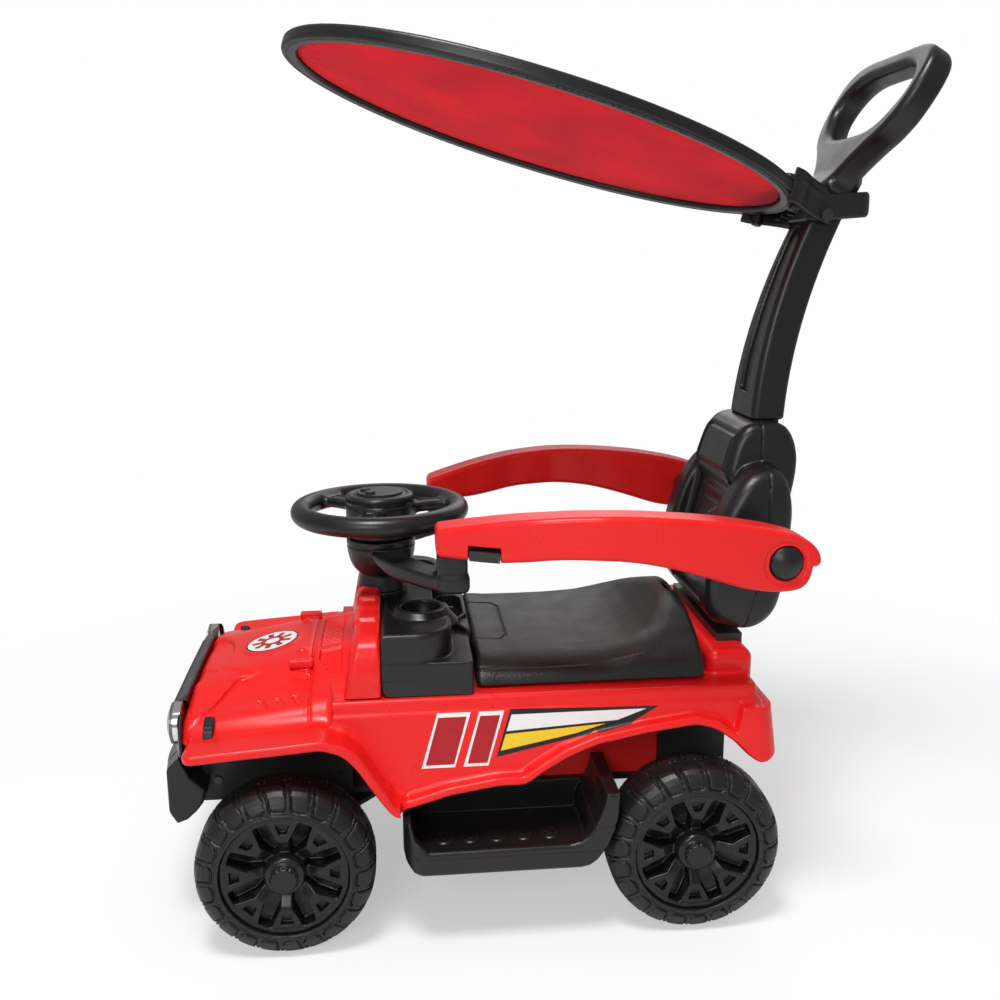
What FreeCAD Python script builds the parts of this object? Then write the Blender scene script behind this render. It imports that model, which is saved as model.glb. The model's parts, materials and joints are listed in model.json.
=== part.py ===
import FreeCAD, Part
import math
import os

# A toddler's push car with a parent handle and a sun canopy, in millimetres.
# While it is built, X points forward from the rear axle, Y to the left and Z up from the floor.
# The finished set of solids is moved so that the origin is the bottom centre of the whole car.

Vec = FreeCAD.Vector

# Running gear
WHEELBASE = 392.0
TRACK = 328.0
WHEEL_R = 85.0
TYRE_W = 60.0
TREAD_W = 40.0
SHOULDER_DROP = 11.0
RIM_R = 58.0
WEB_T = 8.0
HUB_R = 19.0
HUB_STAND = 6.0
LUG_COUNT = 22
LUG_GROOVE_W = 3.2
LUG_GROOVE_DEPTH = 2.5
AXLE_R = 5.0
NUT_R = 8.0
NUT_T = 6.0
COVER_T = 3.0
COVER_RING_W = 5.0
COVER_SINK = 4.0
SPOKE_COUNT = 8
SPOKE_W = 10.0
SPOKE_FLARE_W = 30.0
SPOKE_SINK = 8.0
HUB_CONE_R = 20.0
HUB_NOSE_R = 14.0
HUB_NOSE_STAND = 6.0
HUB_SHELL = 3.0

# Clearances and the overrun of cuts
RUN_GAP = 0.5
SEAT_GAP = 0.2
FIT_GAP = 0.15
OVERRUN = 4.0

# Steering
KINGPIN_INSET = 16.0
KINGPIN_R = 4.0
KNUCKLE_R = 11.0
KNUCKLE_ARM = 40.0
KNUCKLE_ARM_W = 12.0
ARM_PIN_R = 3.0
CRANK_REACH = 25.0
CRANK_T = 6.0
CRANK_W = 14.0
TIE_ROD_T = 5.0
TIE_ROD_W = 18.0
TIE_ROD_NECK_HALF = 34.0
SLOT_PLAY = 3.0
SHAFT_R = 5.0
CLEVIS_T = 6.0

# Body moulding
WALL = 3.5
ARCH_GAP = 35.0
LEDGE_RISE = 32.0
LEDGE_HALF = 150.0
SILL_HALF = 161.0
SILL_DROP = 107.0
LIP_OUT = 12.0
LIP_H = 8.0
TAIL_REACH = 76.0
TAIL_LEAN = 11.0
FENDER_OUT = 48.0
FENDER_T = 9.0
HOOD_HALF = 142.0
HOOD_REAR_RISE = 26.0
HOOD_FRONT_DROP = 4.0
HOOD_CROWN = 33.0
HOOD_NOSE_CROWN = 24.0
HOOD_FRONT_REACH = 90.0
NOSE_LEAN = 4.0
COWL_SETBACK = 61.0
COWL_T = 33.0
COWL_SEAM_RISE = 15.0
COWL_HALF = 145.0
COWL_END_H = 40.0
COWL_MID_H = 61.0
COWL_LEAN = 12.0
COWL_LUMPS = 5
COWL_LUMP_W = 26.0
COWL_LUMP_H = 7.0
PEDESTAL_FRONT = 26.0
PEDESTAL_REAR = 70.0
PEDESTAL_HALF = 125.0
PEDESTAL_H = 20.0
PEDESTAL_ROUND = 14.0

# Nose: grille, lamps, bumper and hood latches
GRILLE_T = 16.0
GRILLE_H = 54.0
GRILLE_END_BACK = 12.0
GRILLE_BARS = 7
GRILLE_BAR_GAP_W = 10.0
GRILLE_SLOT_DEPTH = 6.0
LAMP_R = 20.0
LAMP_INSET = 27.0
LAMP_WALL = 2.5
LENS_DOME = 6.0
LENS_T = 3.0
BUMPER_PAST = 10.0
BUMPER_REACH = 29.0
BUMPER_END_BACK = 9.0
BUMPER_H = 70.0
BUMPER_MOUNT_HALF = 70.0
LATCH_BACK = 22.0
LATCH_L = 10.0
LATCH_STAND = 7.0

# Underframe
PLATE_INSET = 20.0
PLATE_T = 6.0
PLATE_ABOVE_AXLE = 33.5
BOX_WALL = 4.0
BOX_REAR_SETBACK = 62.0
BOX_TOP_GAP = 8.0
CARRIER_FRONT = 18.0
CARRIER_REAR = 52.0
BEARING_R = 15.0

# Storage bin, seat lid and its hinge
BIN_FRONT_GAP = 4.0
BIN_INSET = 4.0
BIN_WALL = 3.0
BIN_FLANGE_W = 9.0
BIN_FLANGE_T = 2.5
SEAT_REAR = 20.0
SEAT_HALF = 130.0
SEAT_H = 25.0
SEAT_RISE = 40.0
SEAT_CROWN_HALF = 62.0
SEAT_EDGE_DROP = 30.0
SEAT_SHELL = 3.0
SEAT_FRONT_GAP = 4.0
HINGE_INSET = 6.5
HINGE_DROP = 6.0
HINGE_PIN_R = 2.5
HINGE_EAR_R = 5.5
HINGE_EAR_W = 10.0
HINGE_EAR_Y = 80.0

# Console, gear pod and steering column
CONSOLE_L = 80.0
CONSOLE_HALF = 143.0
CONSOLE_H = 60.0
CONSOLE_SHELL = 3.0
CONSOLE_ROUND = 24.0
PLINTH_L = 8.0
PLINTH_H = 24.0
CUP_Y = 75.0
CUP_BACK = 40.0
CUP_RING_R = 29.0
CUP_RING_H = 7.0
CUP_R = 19.0
CUP_DEPTH = 42.0
POD_L = 34.0
POD_HALF = 44.0
POD_DROP = 19.0
POD_RECESS_DEPTH = 9.0
POD_WALL = 5.0
COLUMN_BACK = 2.0
COLUMN_BASE_R = 23.5
COLUMN_NECK_R = 21.0
COLUMN_NECK_H = 25.0
BOWL_R = 38.0
BOWL_H = 30.0
BOWL_RIM_H = 8.0
SCREW_HEAD_R = 4.0
SCREW_HEAD_T = 2.0

# Steering wheel
STEER_RING_R = 81.0
STEER_TUBE_R = 10.5
STEER_HUB_R = 35.5
STEER_HUB_H = 46.0
STEER_RING_UP = 28.0
STEER_SHELL = 3.0
STEER_SPOKES = 3
STEER_SPOKE_W = 22.0
STEER_SPOKE_T = 11.0
STEER_SPOKE_ANGLE = 77.0
PAD_R = 24.0
PAD_T = 2.0
MUSIC_R = 5.0
MUSIC_STAND = 2.5
MUSIC_TRAVEL = 2.0
MUSIC_AT_R = 15.0
MUSIC_SPREAD = 32.0
MUSIC_ANGLE = 20.0
MODULE_R = 24.0

# Guard, armrests and their pivots
GUARD_T = 26.0
GUARD_RING_W = 13.0
GUARD_ARM_W = 24.0
POST_W = 29.0
POST_BACK = 68.0
POST_Y = 120.0
ARM_UNDER_RISE = 75.0
ARM_DEPTH = 35.0
ARM_W = 34.0
ARM_OUT = 197.0
ARM_OVERHANG = 1.0
PIVOT_BACK = 73.0
PIVOT_R = 5.0
KNOB_R = 16.0
KNOB_STAND = 6.0
KNOB_SINK = 3.0
BOSS_R = 16.0
LATCH_KEY_BACK = 30.0
LATCH_KEY_L = 27.0
LATCH_KEY_H = 10.0
LATCH_KEY_W = 16.0
LATCH_KEY_TRAVEL = 3.0

# Backrest and its foot
FOOT_BACK = 43.0
FOOT_L = 26.0
FOOT_HALF = 89.0
FOOT_H = 12.0
BACK_HALF = 97.0
BACK_AHEAD = 13.0
BACK_L = 82.0
BACK_H = 146.0
HEAD_HALF = 60.0
HEAD_H = 65.0
HEAD_L = 70.0
BACK_LEAN = 28.0
BACK_PANEL_HALF = 60.0
BACK_PANEL_DEPTH = 12.0

# Push handle
POLE_FOOT_DEPTH = 70.0
POLE_FOOT_HALF = 30.0
POLE_LOW_HALF = 39.0
POLE_TOP_HALF = 22.0
POLE_LOW_T = 30.0
POLE_TOP_T = 34.0
POLE_H = 240.0
POLE_LEAN = 75.0
POLE_STEPS = 5
POLE_BACK = 31.0
LOOP_L = 157.0
LOOP_HALF = 102.0
LOOP_TILT = 30.0
LOOP_T = 28.0
LOOP_BAR_W = 20.0
LOOP_ROOT_L = 66.0
LOOP_AHEAD = 15.0
LOOP_DROP = 19.5

# Canopy
CANOPY_A = 262.0
CANOPY_B = 160.0
CANOPY_RIM_W = 15.0
CANOPY_RIM_T = 13.0
CANOPY_FABRIC_T = 3.0
CANOPY_SLOPE = 16.4
CANOPY_ROLL = 7.2
CANOPY_RISE = 2.0
CLAMP_UNDER = 24.0
CLAMP_H = 24.0
CLAMP_WALL = 8.5
CLAMP_REAR_WALL = 16.0
YOKE_HALF = 72.0
YOKE_T = 10.0
YOKE_REACH = 10.0
CLAMP_BOLT_R = 6.0
CLAMP_BOLT_STAND = 5.0

# Foot trays
TRAY_OUT = 195.0
TRAY_FRONT_GAP = 8.0
TRAY_TUCK = 9.0
TRAY_DROP = 5.0
TRAY_REAR_H = 72.0
TRAY_FRONT_H = 48.0
TRAY_FLOOR = 10.0
TRAY_RIM_W = 11.0
TRAY_RIM_H = 21.0
TRAY_ROUND = 26.0

# Outlines written as shares of the sizes they follow
LIP_shares = (
    (0.0, 0.764), (0.011, 0.743), (0.038, 0.738), (0.060, 0.768), (0.082, 0.827), (0.117, 0.865),
    (0.197, 0.865), (0.331, 0.840), (0.462, 0.802), (0.541, 0.755), (0.604, 0.700), (0.653, 0.650),
    (0.724, 0.650), (0.852, 0.620), (0.985, 0.570),
)
FENDER_shares = (
    (-1.20, 0.582), (-1.012, 0.679), (-0.812, 0.797), (-0.659, 0.852), (-0.447, 0.878),
    (-0.02, 0.865), (0.506, 0.852), (1.0, 0.838),
)
HOOD_section_shares = ((0.33, 0.0), (0.70, 0.04), (0.90, 0.24), (0.97, 0.52), (1.0, 1.0))
BACK_shares = (
    (0.43, 0.0), (0.12, 0.14), (0.0, 0.34), (0.02, 0.64), (0.22, 0.90), (0.40, 1.10), (0.73, 1.18),
    (0.95, 1.03), (1.0, 0.80), (0.90, 0.28), (0.74, 0.04), (0.67, 0.0),
)
HEAD_shares = (
    (0.0, 0.07), (0.10, 0.80), (0.20, 0.95), (0.30, 1.0), (0.78, 1.0), (0.97, 0.75), (1.0, 0.25),
    (0.85, -0.4),
    (0.2, -0.4),
)
SEAT_top_shares = (
    (1.0, 0.0), (0.72, 0.0), (0.42, 0.05), (0.22, 0.28), (0.10, 0.82), (0.05, 1.0), (0.015, 0.92),
    (0.0, 0.5),
)
LOOP_outer_shares = (
    (0.24, 0.05), (0.28, 0.09), (0.44, 0.21), (0.62, 0.31), (0.79, 0.39), (0.94, 0.51), (1.0, 0.65),
    (1.0, 0.78), (0.95, 0.89), (0.82, 0.96), (0.6, 1.0),
)
LOOP_inner_shares = (
    (0.15, 0.0), (0.61, 0.07), (0.78, 0.17), (0.90, 0.31), (0.98, 0.45), (1.0, 0.59), (0.94, 0.76),
    (0.80, 0.90), (0.55, 1.0),
)
ARM_top_shares = (
    (0.0, -0.06), (0.02, 0.30), (0.06, 0.58), (0.174, 0.86), (0.31, 1.10), (0.42, 1.27), (0.523, 1.36),
    (0.626, 1.40), (0.728, 1.36), (0.829, 1.21), (0.932, 0.96), (1.0, 0.75),
)
ARM_under_shares = (
    (1.0, 0.0), (0.83, 0.0), (0.74, 0.20), (0.64, 0.25), (0.54, 0.23), (0.437, 0.08), (0.332, -0.19),
    (0.225, -0.59), (0.17, -0.70), (0.11, -0.78), (0.049, -0.75), (0.011, -0.49),
)
ARM_plan_shares = (
    (0.0, 0.90), (0.25, 1.0), (0.42, 1.0), (0.58, 0.93), (0.74, 0.70), (0.88, 0.36), (1.0, 0.0),
)
BUMPER_side_shares = ((0.0, 0.72), (0.28, 1.0), (1.0, 0.70), (1.0, 0.42), (0.55, 0.0), (0.10, 0.06),
                      (0.0, 0.25))
BACK_CORNER_share = 0.32
BACK_PANEL_FOOT_share = 0.25
BACK_SEAM_share = 0.55
BOWL_WAIST_share = 0.9
BOWL_WAIST_UP_share = 0.62
BUMPER_MOUNT_LOW_share = 0.25
BUMPER_MOUNT_TOP_share = 0.62
COLUMN_STRAIGHT_share = 0.75
CORNER_RUN_share = 0.42
COWL_FALL_share = 0.55
COWL_LUMP_SHOW_share = 0.3
COWL_LUMP_SPAN_share = 0.75
COWL_SHOULDER_share = 0.5
GRILLE_MARGIN_share = 0.25
GUARD_ROOT_share = 0.62
KNOB_DOME_share = 0.5
LAMP_FLOOR_share = 0.55
LAMP_SINK_share = 0.55
LAMP_UP_share = 0.58
LENS_CROWN_share = 0.62
LENS_TIP_share = 0.3
LIP_ROOT_share = 0.5
LUG_PHASE_share = 0.3
POLE_ROUND_share = 0.55
POLE_STRAIGHT_share = 0.25
POST_ROUND_share = 0.3
SEAT_SHOULDER_share = 0.25
SPOKE_FLARE_share = 0.62
SPOKE_HOLE_share = 0.4

# Levels and stations worked out from the sizes above
AXLE_Z = WHEEL_R
WHEEL_Y = TRACK / 2
TYRE_IN_Y = WHEEL_Y - TYRE_W / 2
KINGPIN_Y = TYRE_IN_Y - KINGPIN_INSET
BUMPER_HALF = KINGPIN_Y + BUMPER_PAST
PLATE_HALF = KINGPIN_Y - PLATE_INSET
BIN_HALF = PLATE_HALF - BIN_INSET
ARCH_Z = 2 * WHEEL_R + ARCH_GAP
LEDGE_Z = ARCH_Z + LEDGE_RISE
PLATE_Z = AXLE_Z + PLATE_ABOVE_AXLE
PLATE_TOP = PLATE_Z + PLATE_T
COWL_FRONT = WHEELBASE - COWL_SETBACK
COWL_REAR = COWL_FRONT - COWL_T
COWL_Z = LEDGE_Z + COWL_SEAM_RISE
HOOD_FRONT = WHEELBASE + HOOD_FRONT_REACH
HOOD_REAR_Z = LEDGE_Z + HOOD_REAR_RISE
HOOD_FRONT_Z = LEDGE_Z - HOOD_FRONT_DROP
LAMP_Y = HOOD_HALF - LAMP_INSET
FENDER_REAR = WHEELBASE + FENDER_shares[0][0] * WHEEL_R
FENDER_FRONT_Z = FENDER_shares[-1][1] * LEDGE_Z
COLUMN_X = COWL_REAR - COLUMN_BACK
CONSOLE_FRONT = COWL_REAR - SEAT_GAP
CONSOLE_REAR = CONSOLE_FRONT - CONSOLE_L
CONSOLE_Z = LEDGE_Z + CONSOLE_H
SEAT_FRONT = CONSOLE_REAR - PLINTH_L - SEAT_FRONT_GAP
SEAT_Z = LEDGE_Z + BIN_FLANGE_T + SEAT_GAP
SEAT_TOP = SEAT_Z + SEAT_H
HINGE_X = SEAT_FRONT - HINGE_INSET
HINGE_Z = SEAT_TOP - HINGE_DROP
PEDESTAL_Z = LEDGE_Z + PEDESTAL_H
FOOT_Z = PEDESTAL_Z + FOOT_H
BACK_TOP = FOOT_Z + BACK_H
HEAD_TOP = BACK_TOP + HEAD_H
BACK_FRONT = -FOOT_BACK + BACK_AHEAD
NECK_TOP = CONSOLE_Z + COLUMN_NECK_H
BOWL_TOP = NECK_TOP + BOWL_H + BOWL_RIM_H
STEER_Z = BOWL_TOP + RUN_GAP
STEER_TOP = STEER_Z + STEER_HUB_H
RING_Z = STEER_Z + STEER_RING_UP
ARM_Z = CONSOLE_Z + ARM_UNDER_RISE
POST_X = COLUMN_X - POST_BACK
ARM_FRONT = POST_X + POST_W / 2 + ARM_OVERHANG
ARM_REAR = -PIVOT_BACK - ARM_DEPTH
ARM_L = ARM_FRONT - ARM_REAR
PIVOT_X = -PIVOT_BACK
PIVOT_Z = ARM_Z
ARM_OUT_FRONT = POST_Y + ARM_W / 2
ARM_IN_FRONT = POST_Y - ARM_W / 2
TIE_ROD_X = WHEELBASE - KNUCKLE_ARM
CRANK_X = COLUMN_X - CRANK_REACH
ARM_PLATE_Z = PLATE_Z - RUN_GAP - TIE_ROD_T
TIE_ROD_Z = ARM_PLATE_Z - RUN_GAP - TIE_ROD_T
CRANK_Z = TIE_ROD_Z - RUN_GAP - CRANK_T
BIN_REAR = CARRIER_FRONT + SEAT_GAP
BIN_FRONT = SEAT_FRONT - BIN_FRONT_GAP - HINGE_EAR_R - HINGE_INSET
TRAY_FRONT = FENDER_REAR - TRAY_FRONT_GAP
TRAY_REAR = WHEEL_R - TRAY_TUCK
TRAY_Z = AXLE_Z - TRAY_DROP
CANOPY_TILT = math.radians(CANOPY_SLOPE)
POLE_TOP_Z = HEAD_TOP + POLE_H
POLE_X = BACK_FRONT - BACK_LEAN - POLE_LOW_T / 2 - POLE_BACK
CLAMP_TOP = POLE_TOP_Z - CLAMP_UNDER
CLAMP_Z = CLAMP_TOP - CLAMP_H


def corner_arc(before, corner, after, radius):
    """Start, middle and end of the arc that rounds one corner of an outline."""
    run_in = before - corner
    run_out = after - corner
    half = run_in.getAngle(run_out) / 2
    reach = radius / math.tan(half)
    reach = min(reach, CORNER_RUN_share * run_in.Length, CORNER_RUN_share * run_out.Length)
    start = corner + Vec(run_in).normalize() * reach
    end = corner + Vec(run_out).normalize() * reach
    bisector = (Vec(run_in).normalize() + Vec(run_out).normalize()).normalize()
    used = reach * math.tan(half)
    middle = corner + bisector * (used / math.sin(half) - used)
    return start, middle, end


def outline(points, radius=0):
    """Closed wire through the points, with every corner rounded where a radius is given."""
    if not radius:
        return Part.makePolygon(list(points) + [points[0]])
    count = len(points)
    arcs = [corner_arc(points[i - 1], points[i], points[(i + 1) % count], radius) for i in range(count)]
    edges = []
    for i in range(count):
        start, middle, end = arcs[i]
        following = arcs[(i + 1) % count][0]
        edges.append(Part.Arc(start, middle, end).toShape())
        edges.append(Part.LineSegment(end, following).toShape())
    return Part.Wire(edges)


def side_prism(points, y_from, y_to, radius=0):
    """Solid of an XZ outline between two Y levels."""
    wire = outline([Vec(x, y_from, z) for x, z in points], radius)
    return Part.Face(wire).extrude(Vec(0, y_to - y_from, 0))


def plan_prism(points, z_from, z_to, radius=0):
    """Solid of an XY outline between two Z levels."""
    wire = outline([Vec(x, y, z_from) for x, y in points], radius)
    return Part.Face(wire).extrude(Vec(0, 0, z_to - z_from))


def front_prism(points, x_from, x_to, radius=0):
    """Solid of a YZ outline between two X stations."""
    wire = outline([Vec(x_from, y, z) for y, z in points], radius)
    return Part.Face(wire).extrude(Vec(x_to - x_from, 0, 0))


def box(x_from, x_to, y_from, y_to, z_from, z_to):
    """Box between two corners."""
    return Part.makeBox(x_to - x_from, y_to - y_from, z_to - z_from, Vec(x_from, y_from, z_from))


def rod_y(x, z, radius, y_from, y_to):
    """Round bar along Y."""
    return Part.makeCylinder(radius, y_to - y_from, Vec(x, y_from, z), Vec(0, 1, 0))


def rod_z(x, y, radius, z_from, z_to):
    """Round bar along Z."""
    return Part.makeCylinder(radius, z_to - z_from, Vec(x, y, z_from))


def mirrored(shape):
    """The same solid on the other side of the car."""
    return shape.mirror(Vec(0, 0, 0), Vec(0, 1, 0))


def symmetric(half_points):
    """Outline of Y, Z or X, Y points on the left, closed by their reflections on the right."""
    return list(half_points) + [(-y, z) for y, z in reversed(half_points)]


def both_sides(points):
    """Plan outline given on the left side as X, Y, closed by its reflection on the right side."""
    return list(points) + [(x, -y) for x, y in reversed(points)]


def fused(shapes):
    """One solid from touching solids."""
    first = shapes[0]
    return first.fuse(list(shapes[1:])).removeSplitter() if len(shapes) > 1 else first


def band(points, thickness):
    """Strip of even thickness on the upper side of an XZ line that runs towards positive X."""
    upper = []
    for i, (x, z) in enumerate(points):
        x_in, z_in = points[max(i - 1, 0)]
        x_out, z_out = points[min(i + 1, len(points) - 1)]
        run = math.hypot(x_out - x_in, z_out - z_in)
        upper.append((x - (z_out - z_in) / run * thickness, z + (x_out - x_in) / run * thickness))
    return list(points) + upper[::-1]


def lip_line():
    """Lower edge of the body from the tail to the fender."""
    run = FENDER_REAR + TAIL_REACH
    return [(-TAIL_REACH + along * run, up * LEDGE_Z) for along, up in LIP_shares]


def fender_line():
    """Lower edge of the front fender, from its rear leg to the nose."""
    return [(WHEELBASE + along * WHEEL_R, up * LEDGE_Z) for along, up in FENDER_shares]


def body_form(inset):
    """Outer form of the body, or its hollow when the wall is taken off all round."""
    low = PLATE_Z - OVERRUN
    tail = -TAIL_REACH + TAIL_LEAN
    top = [(COWL_REAR + inset, COWL_Z - inset), (COWL_REAR + inset, LEDGE_Z - inset),
           (tail + inset, LEDGE_Z - inset)]
    nose = [(HOOD_FRONT + NOSE_LEAN - inset, FENDER_FRONT_Z), (HOOD_FRONT - inset, HOOD_REAR_Z),
            (COWL_FRONT, HOOD_REAR_Z),
            (COWL_FRONT, COWL_Z - inset)]
    if inset:
        under = [(-TAIL_REACH + inset, low), (HOOD_FRONT + NOSE_LEAN - inset, low)]
    else:
        under = lip_line() + fender_line()
    profile = under + nose + top
    sill_z = LEDGE_Z - SILL_DROP
    tub_section = symmetric([
        (LEDGE_HALF - inset, HOOD_REAR_Z), (LEDGE_HALF - inset, LEDGE_Z),
        (SILL_HALF - inset, sill_z), (SILL_HALF - inset, low - OVERRUN),
    ])
    hood_rear = hood_section(COWL_REAR, HOOD_REAR_Z - inset, HOOD_CROWN, inset, low)
    hood_nose = hood_section(HOOD_FRONT + NOSE_LEAN, HOOD_FRONT_Z - inset, HOOD_NOSE_CROWN, inset, low)
    whole = side_prism(profile, -SILL_HALF, SILL_HALF)
    tub = whole.common(front_prism(tub_section, -TAIL_REACH - OVERRUN, COWL_FRONT))
    hood = whole.common(Part.makeLoft([hood_rear, hood_nose], True, True))
    return tub.fuse(hood)


def hood_section(x, crest, crown, inset, low):
    """Crowned cross-section of the hood at a station, down to the floor of its flanks."""
    half = [(across * (HOOD_HALF - inset), crest - drop * crown) for across, drop in HOOD_section_shares]
    half.append((HOOD_HALF - inset, low - OVERRUN))
    return outline([Vec(x, y, z) for y, z in symmetric(half)])


def pedestal(inset):
    """Raised seat of the backrest behind the seat lid."""
    half = PEDESTAL_HALF - inset
    plan = both_sides([(-PEDESTAL_FRONT - inset, half), (-PEDESTAL_REAR + inset, half)])
    return plan_prism(plan, LEDGE_Z - WALL - inset, PEDESTAL_Z - inset, PEDESTAL_ROUND - inset)


def body_shell():
    """Red body moulding: tub, hood, fenders, turned-out lip and the backrest pedestal."""
    shell = body_form(0).fuse(pedestal(0)).cut(body_form(WALL).fuse(pedestal(WALL)))
    lip_root = LEDGE_HALF + (SILL_HALF - LEDGE_HALF) * LIP_ROOT_share - WALL
    lip = side_prism(band(lip_line(), LIP_H), lip_root, SILL_HALF + LIP_OUT)
    fender = side_prism(band(fender_line(), FENDER_T), HOOD_HALF - WALL, HOOD_HALF + FENDER_OUT)
    shell = fused([shell, lip, mirrored(lip), fender, mirrored(fender)])
    well = box(BIN_REAR - SEAT_GAP, BIN_FRONT + SEAT_GAP, -BIN_HALF - SEAT_GAP, BIN_HALF + SEAT_GAP,
               LEDGE_Z - WALL - OVERRUN, LEDGE_Z + OVERRUN)
    shaft_way = rod_z(COLUMN_X, 0, COLUMN_NECK_R, LEDGE_Z - WALL - OVERRUN, COWL_Z + OVERRUN)
    return shell.cut(well).cut(shaft_way)


def cowl_panel():
    """Red windscreen base between hood and console, with a lumpy crest."""
    top = COWL_Z + COWL_MID_H
    shoulder = COWL_Z + COWL_END_H
    crest = symmetric([(COWL_HALF * COWL_SHOULDER_share, (top + shoulder) / 2),
                       (COWL_HALF - COWL_LUMP_H, shoulder),
                       (COWL_HALF, COWL_Z + COWL_END_H / 2), (COWL_HALF, COWL_Z)])
    panel = front_prism([(0, top)] + crest, COWL_REAR, COWL_FRONT)
    lean = side_prism([(COWL_REAR, COWL_Z), (COWL_FRONT, COWL_Z),
                       (COWL_FRONT - COWL_LEAN, top + COWL_LUMP_H),
                       (COWL_REAR, top + COWL_LUMP_H)], -COWL_HALF, COWL_HALF)
    lumps = []
    pitch = 2 * COWL_HALF * COWL_LUMP_SPAN_share / COWL_LUMPS
    for i in range(COWL_LUMPS):
        y = (i - (COWL_LUMPS - 1) / 2) * pitch
        fall = (top - shoulder) * COWL_FALL_share * abs(y) / COWL_HALF
        lumps.append(box(COWL_REAR, COWL_FRONT - COWL_LEAN, y - COWL_LUMP_W / 2, y + COWL_LUMP_W / 2,
                         shoulder - COWL_LUMP_H, top - fall + COWL_LUMP_H * COWL_LUMP_SHOW_share))
    column_way = rod_z(COLUMN_X, 0, COLUMN_BASE_R + SCREW_HEAD_T + RUN_GAP, COWL_Z - OVERRUN, NECK_TOP)
    return fused([panel] + lumps).common(lean).cut(column_way)


def storage_bin():
    """Open box under the seat, hung by its flange on the body's ledge."""
    outer = box(BIN_REAR, BIN_FRONT, -BIN_HALF, BIN_HALF, PLATE_TOP, LEDGE_Z + BIN_FLANGE_T)
    inner = box(BIN_REAR + BIN_WALL, BIN_FRONT - BIN_WALL, -BIN_HALF + BIN_WALL, BIN_HALF - BIN_WALL,
                PLATE_TOP + BIN_WALL, LEDGE_Z + BIN_FLANGE_T + OVERRUN)
    flange = box(BIN_REAR - BIN_FLANGE_W, BIN_FRONT, -BIN_HALF - BIN_FLANGE_W,
                 BIN_HALF + BIN_FLANGE_W, LEDGE_Z, LEDGE_Z + BIN_FLANGE_T)
    return outer.fuse(flange).removeSplitter().cut(inner)


def chassis():
    """Black floor plate with the box under the hood and the clevises of the front wheels."""
    front = HOOD_FRONT - WALL - RUN_GAP
    rear = -CARRIER_REAR
    parts = [box(rear, front, -PLATE_HALF, PLATE_HALF, PLATE_Z, PLATE_TOP)]
    box_rear = WHEELBASE - BOX_REAR_SETBACK
    box_top = FENDER_FRONT_Z - BOX_TOP_GAP
    for y in (-PLATE_HALF, PLATE_HALF - BOX_WALL):
        parts.append(box(box_rear, front, y, y + BOX_WALL, PLATE_TOP, box_top))
    parts.append(box(front - BOX_WALL, front, -PLATE_HALF, PLATE_HALF, PLATE_TOP, box_top))
    parts.append(box(box_rear, box_rear + BOX_WALL, -PLATE_HALF, PLATE_HALF, PLATE_TOP, box_top))
    low = AXLE_Z - KNUCKLE_R * 2 - CLEVIS_T
    for side in (-1, 1):
        inner = side * (KINGPIN_Y - KNUCKLE_R - RUN_GAP)
        rib = [(WHEELBASE - KNUCKLE_R, side * (PLATE_HALF - KNUCKLE_R)),
               (WHEELBASE + KNUCKLE_R, side * (PLATE_HALF - KNUCKLE_R)),
               (WHEELBASE + KNUCKLE_R, inner), (WHEELBASE - KNUCKLE_R, inner)]
        parts.append(plan_prism(rib, low, PLATE_TOP))
        for z in (low, PLATE_Z):
            parts.append(box(WHEELBASE - KNUCKLE_R, WHEELBASE + KNUCKLE_R, min(inner, side * KINGPIN_Y),
                             max(inner, side * KINGPIN_Y), z, z + CLEVIS_T))
            parts.append(rod_z(WHEELBASE, side * KINGPIN_Y, KNUCKLE_R, z, z + CLEVIS_T))
    frame = fused(parts)
    for side in (-1, 1):
        frame = frame.cut(rod_z(WHEELBASE, side * KINGPIN_Y, KINGPIN_R + FIT_GAP, low - OVERRUN,
                                PLATE_TOP + OVERRUN))
    return frame.cut(rod_z(COLUMN_X, 0, SHAFT_R + RUN_GAP, PLATE_Z - OVERRUN, PLATE_TOP + OVERRUN))


def rear_axle_carrier():
    """Black box behind the bin that holds the rear axle in two bearings."""
    outer = box(-CARRIER_REAR, CARRIER_FRONT, -PLATE_HALF, PLATE_HALF, PLATE_TOP, LEDGE_Z - WALL)
    inner = box(-CARRIER_REAR + BOX_WALL, CARRIER_FRONT - BOX_WALL, -PLATE_HALF + BOX_WALL,
                PLATE_HALF - BOX_WALL, PLATE_TOP + BOX_WALL, LEDGE_Z)
    parts = [outer.cut(inner)]
    for side in (-1, 1):
        ends = sorted((side * (PLATE_HALF + SEAT_GAP), side * (TYRE_IN_Y - RUN_GAP)))
        parts.append(rod_y(0, AXLE_Z, BEARING_R, *ends))
        parts.append(box(-BEARING_R, BEARING_R, *ends, AXLE_Z, PLATE_TOP + BEARING_R))
        wall = sorted((side * (PLATE_HALF - BOX_WALL), side * (TYRE_IN_Y - RUN_GAP)))
        parts.append(box(-BEARING_R, BEARING_R, *wall, PLATE_TOP, PLATE_TOP + BEARING_R))
    bore = rod_y(0, AXLE_Z, AXLE_R + FIT_GAP, -TRACK, TRACK)
    return fused(parts).cut(bore)


def axle_end():
    """How far an axle reaches from the middle of its wheel, past the nut."""
    return WEB_T / 2 + HUB_STAND + RUN_GAP + NUT_T + RUN_GAP


def hex_nut(y_from, side):
    """Hexagon nut on an axle end at the origin of X and Z."""
    corners = [Vec(NUT_R * math.cos(math.radians(60 * i)), y_from, NUT_R * math.sin(math.radians(60 * i)))
               for i in range(6)]
    nut = Part.Face(outline(corners)).extrude(Vec(0, side * NUT_T, 0))
    return nut.cut(rod_y(0, 0, AXLE_R, -TRACK, TRACK))


def rear_axle():
    """Steel rod through both rear wheels."""
    reach = WHEEL_Y + axle_end()
    return rod_y(0, AXLE_Z, AXLE_R, -reach, reach)


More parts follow.
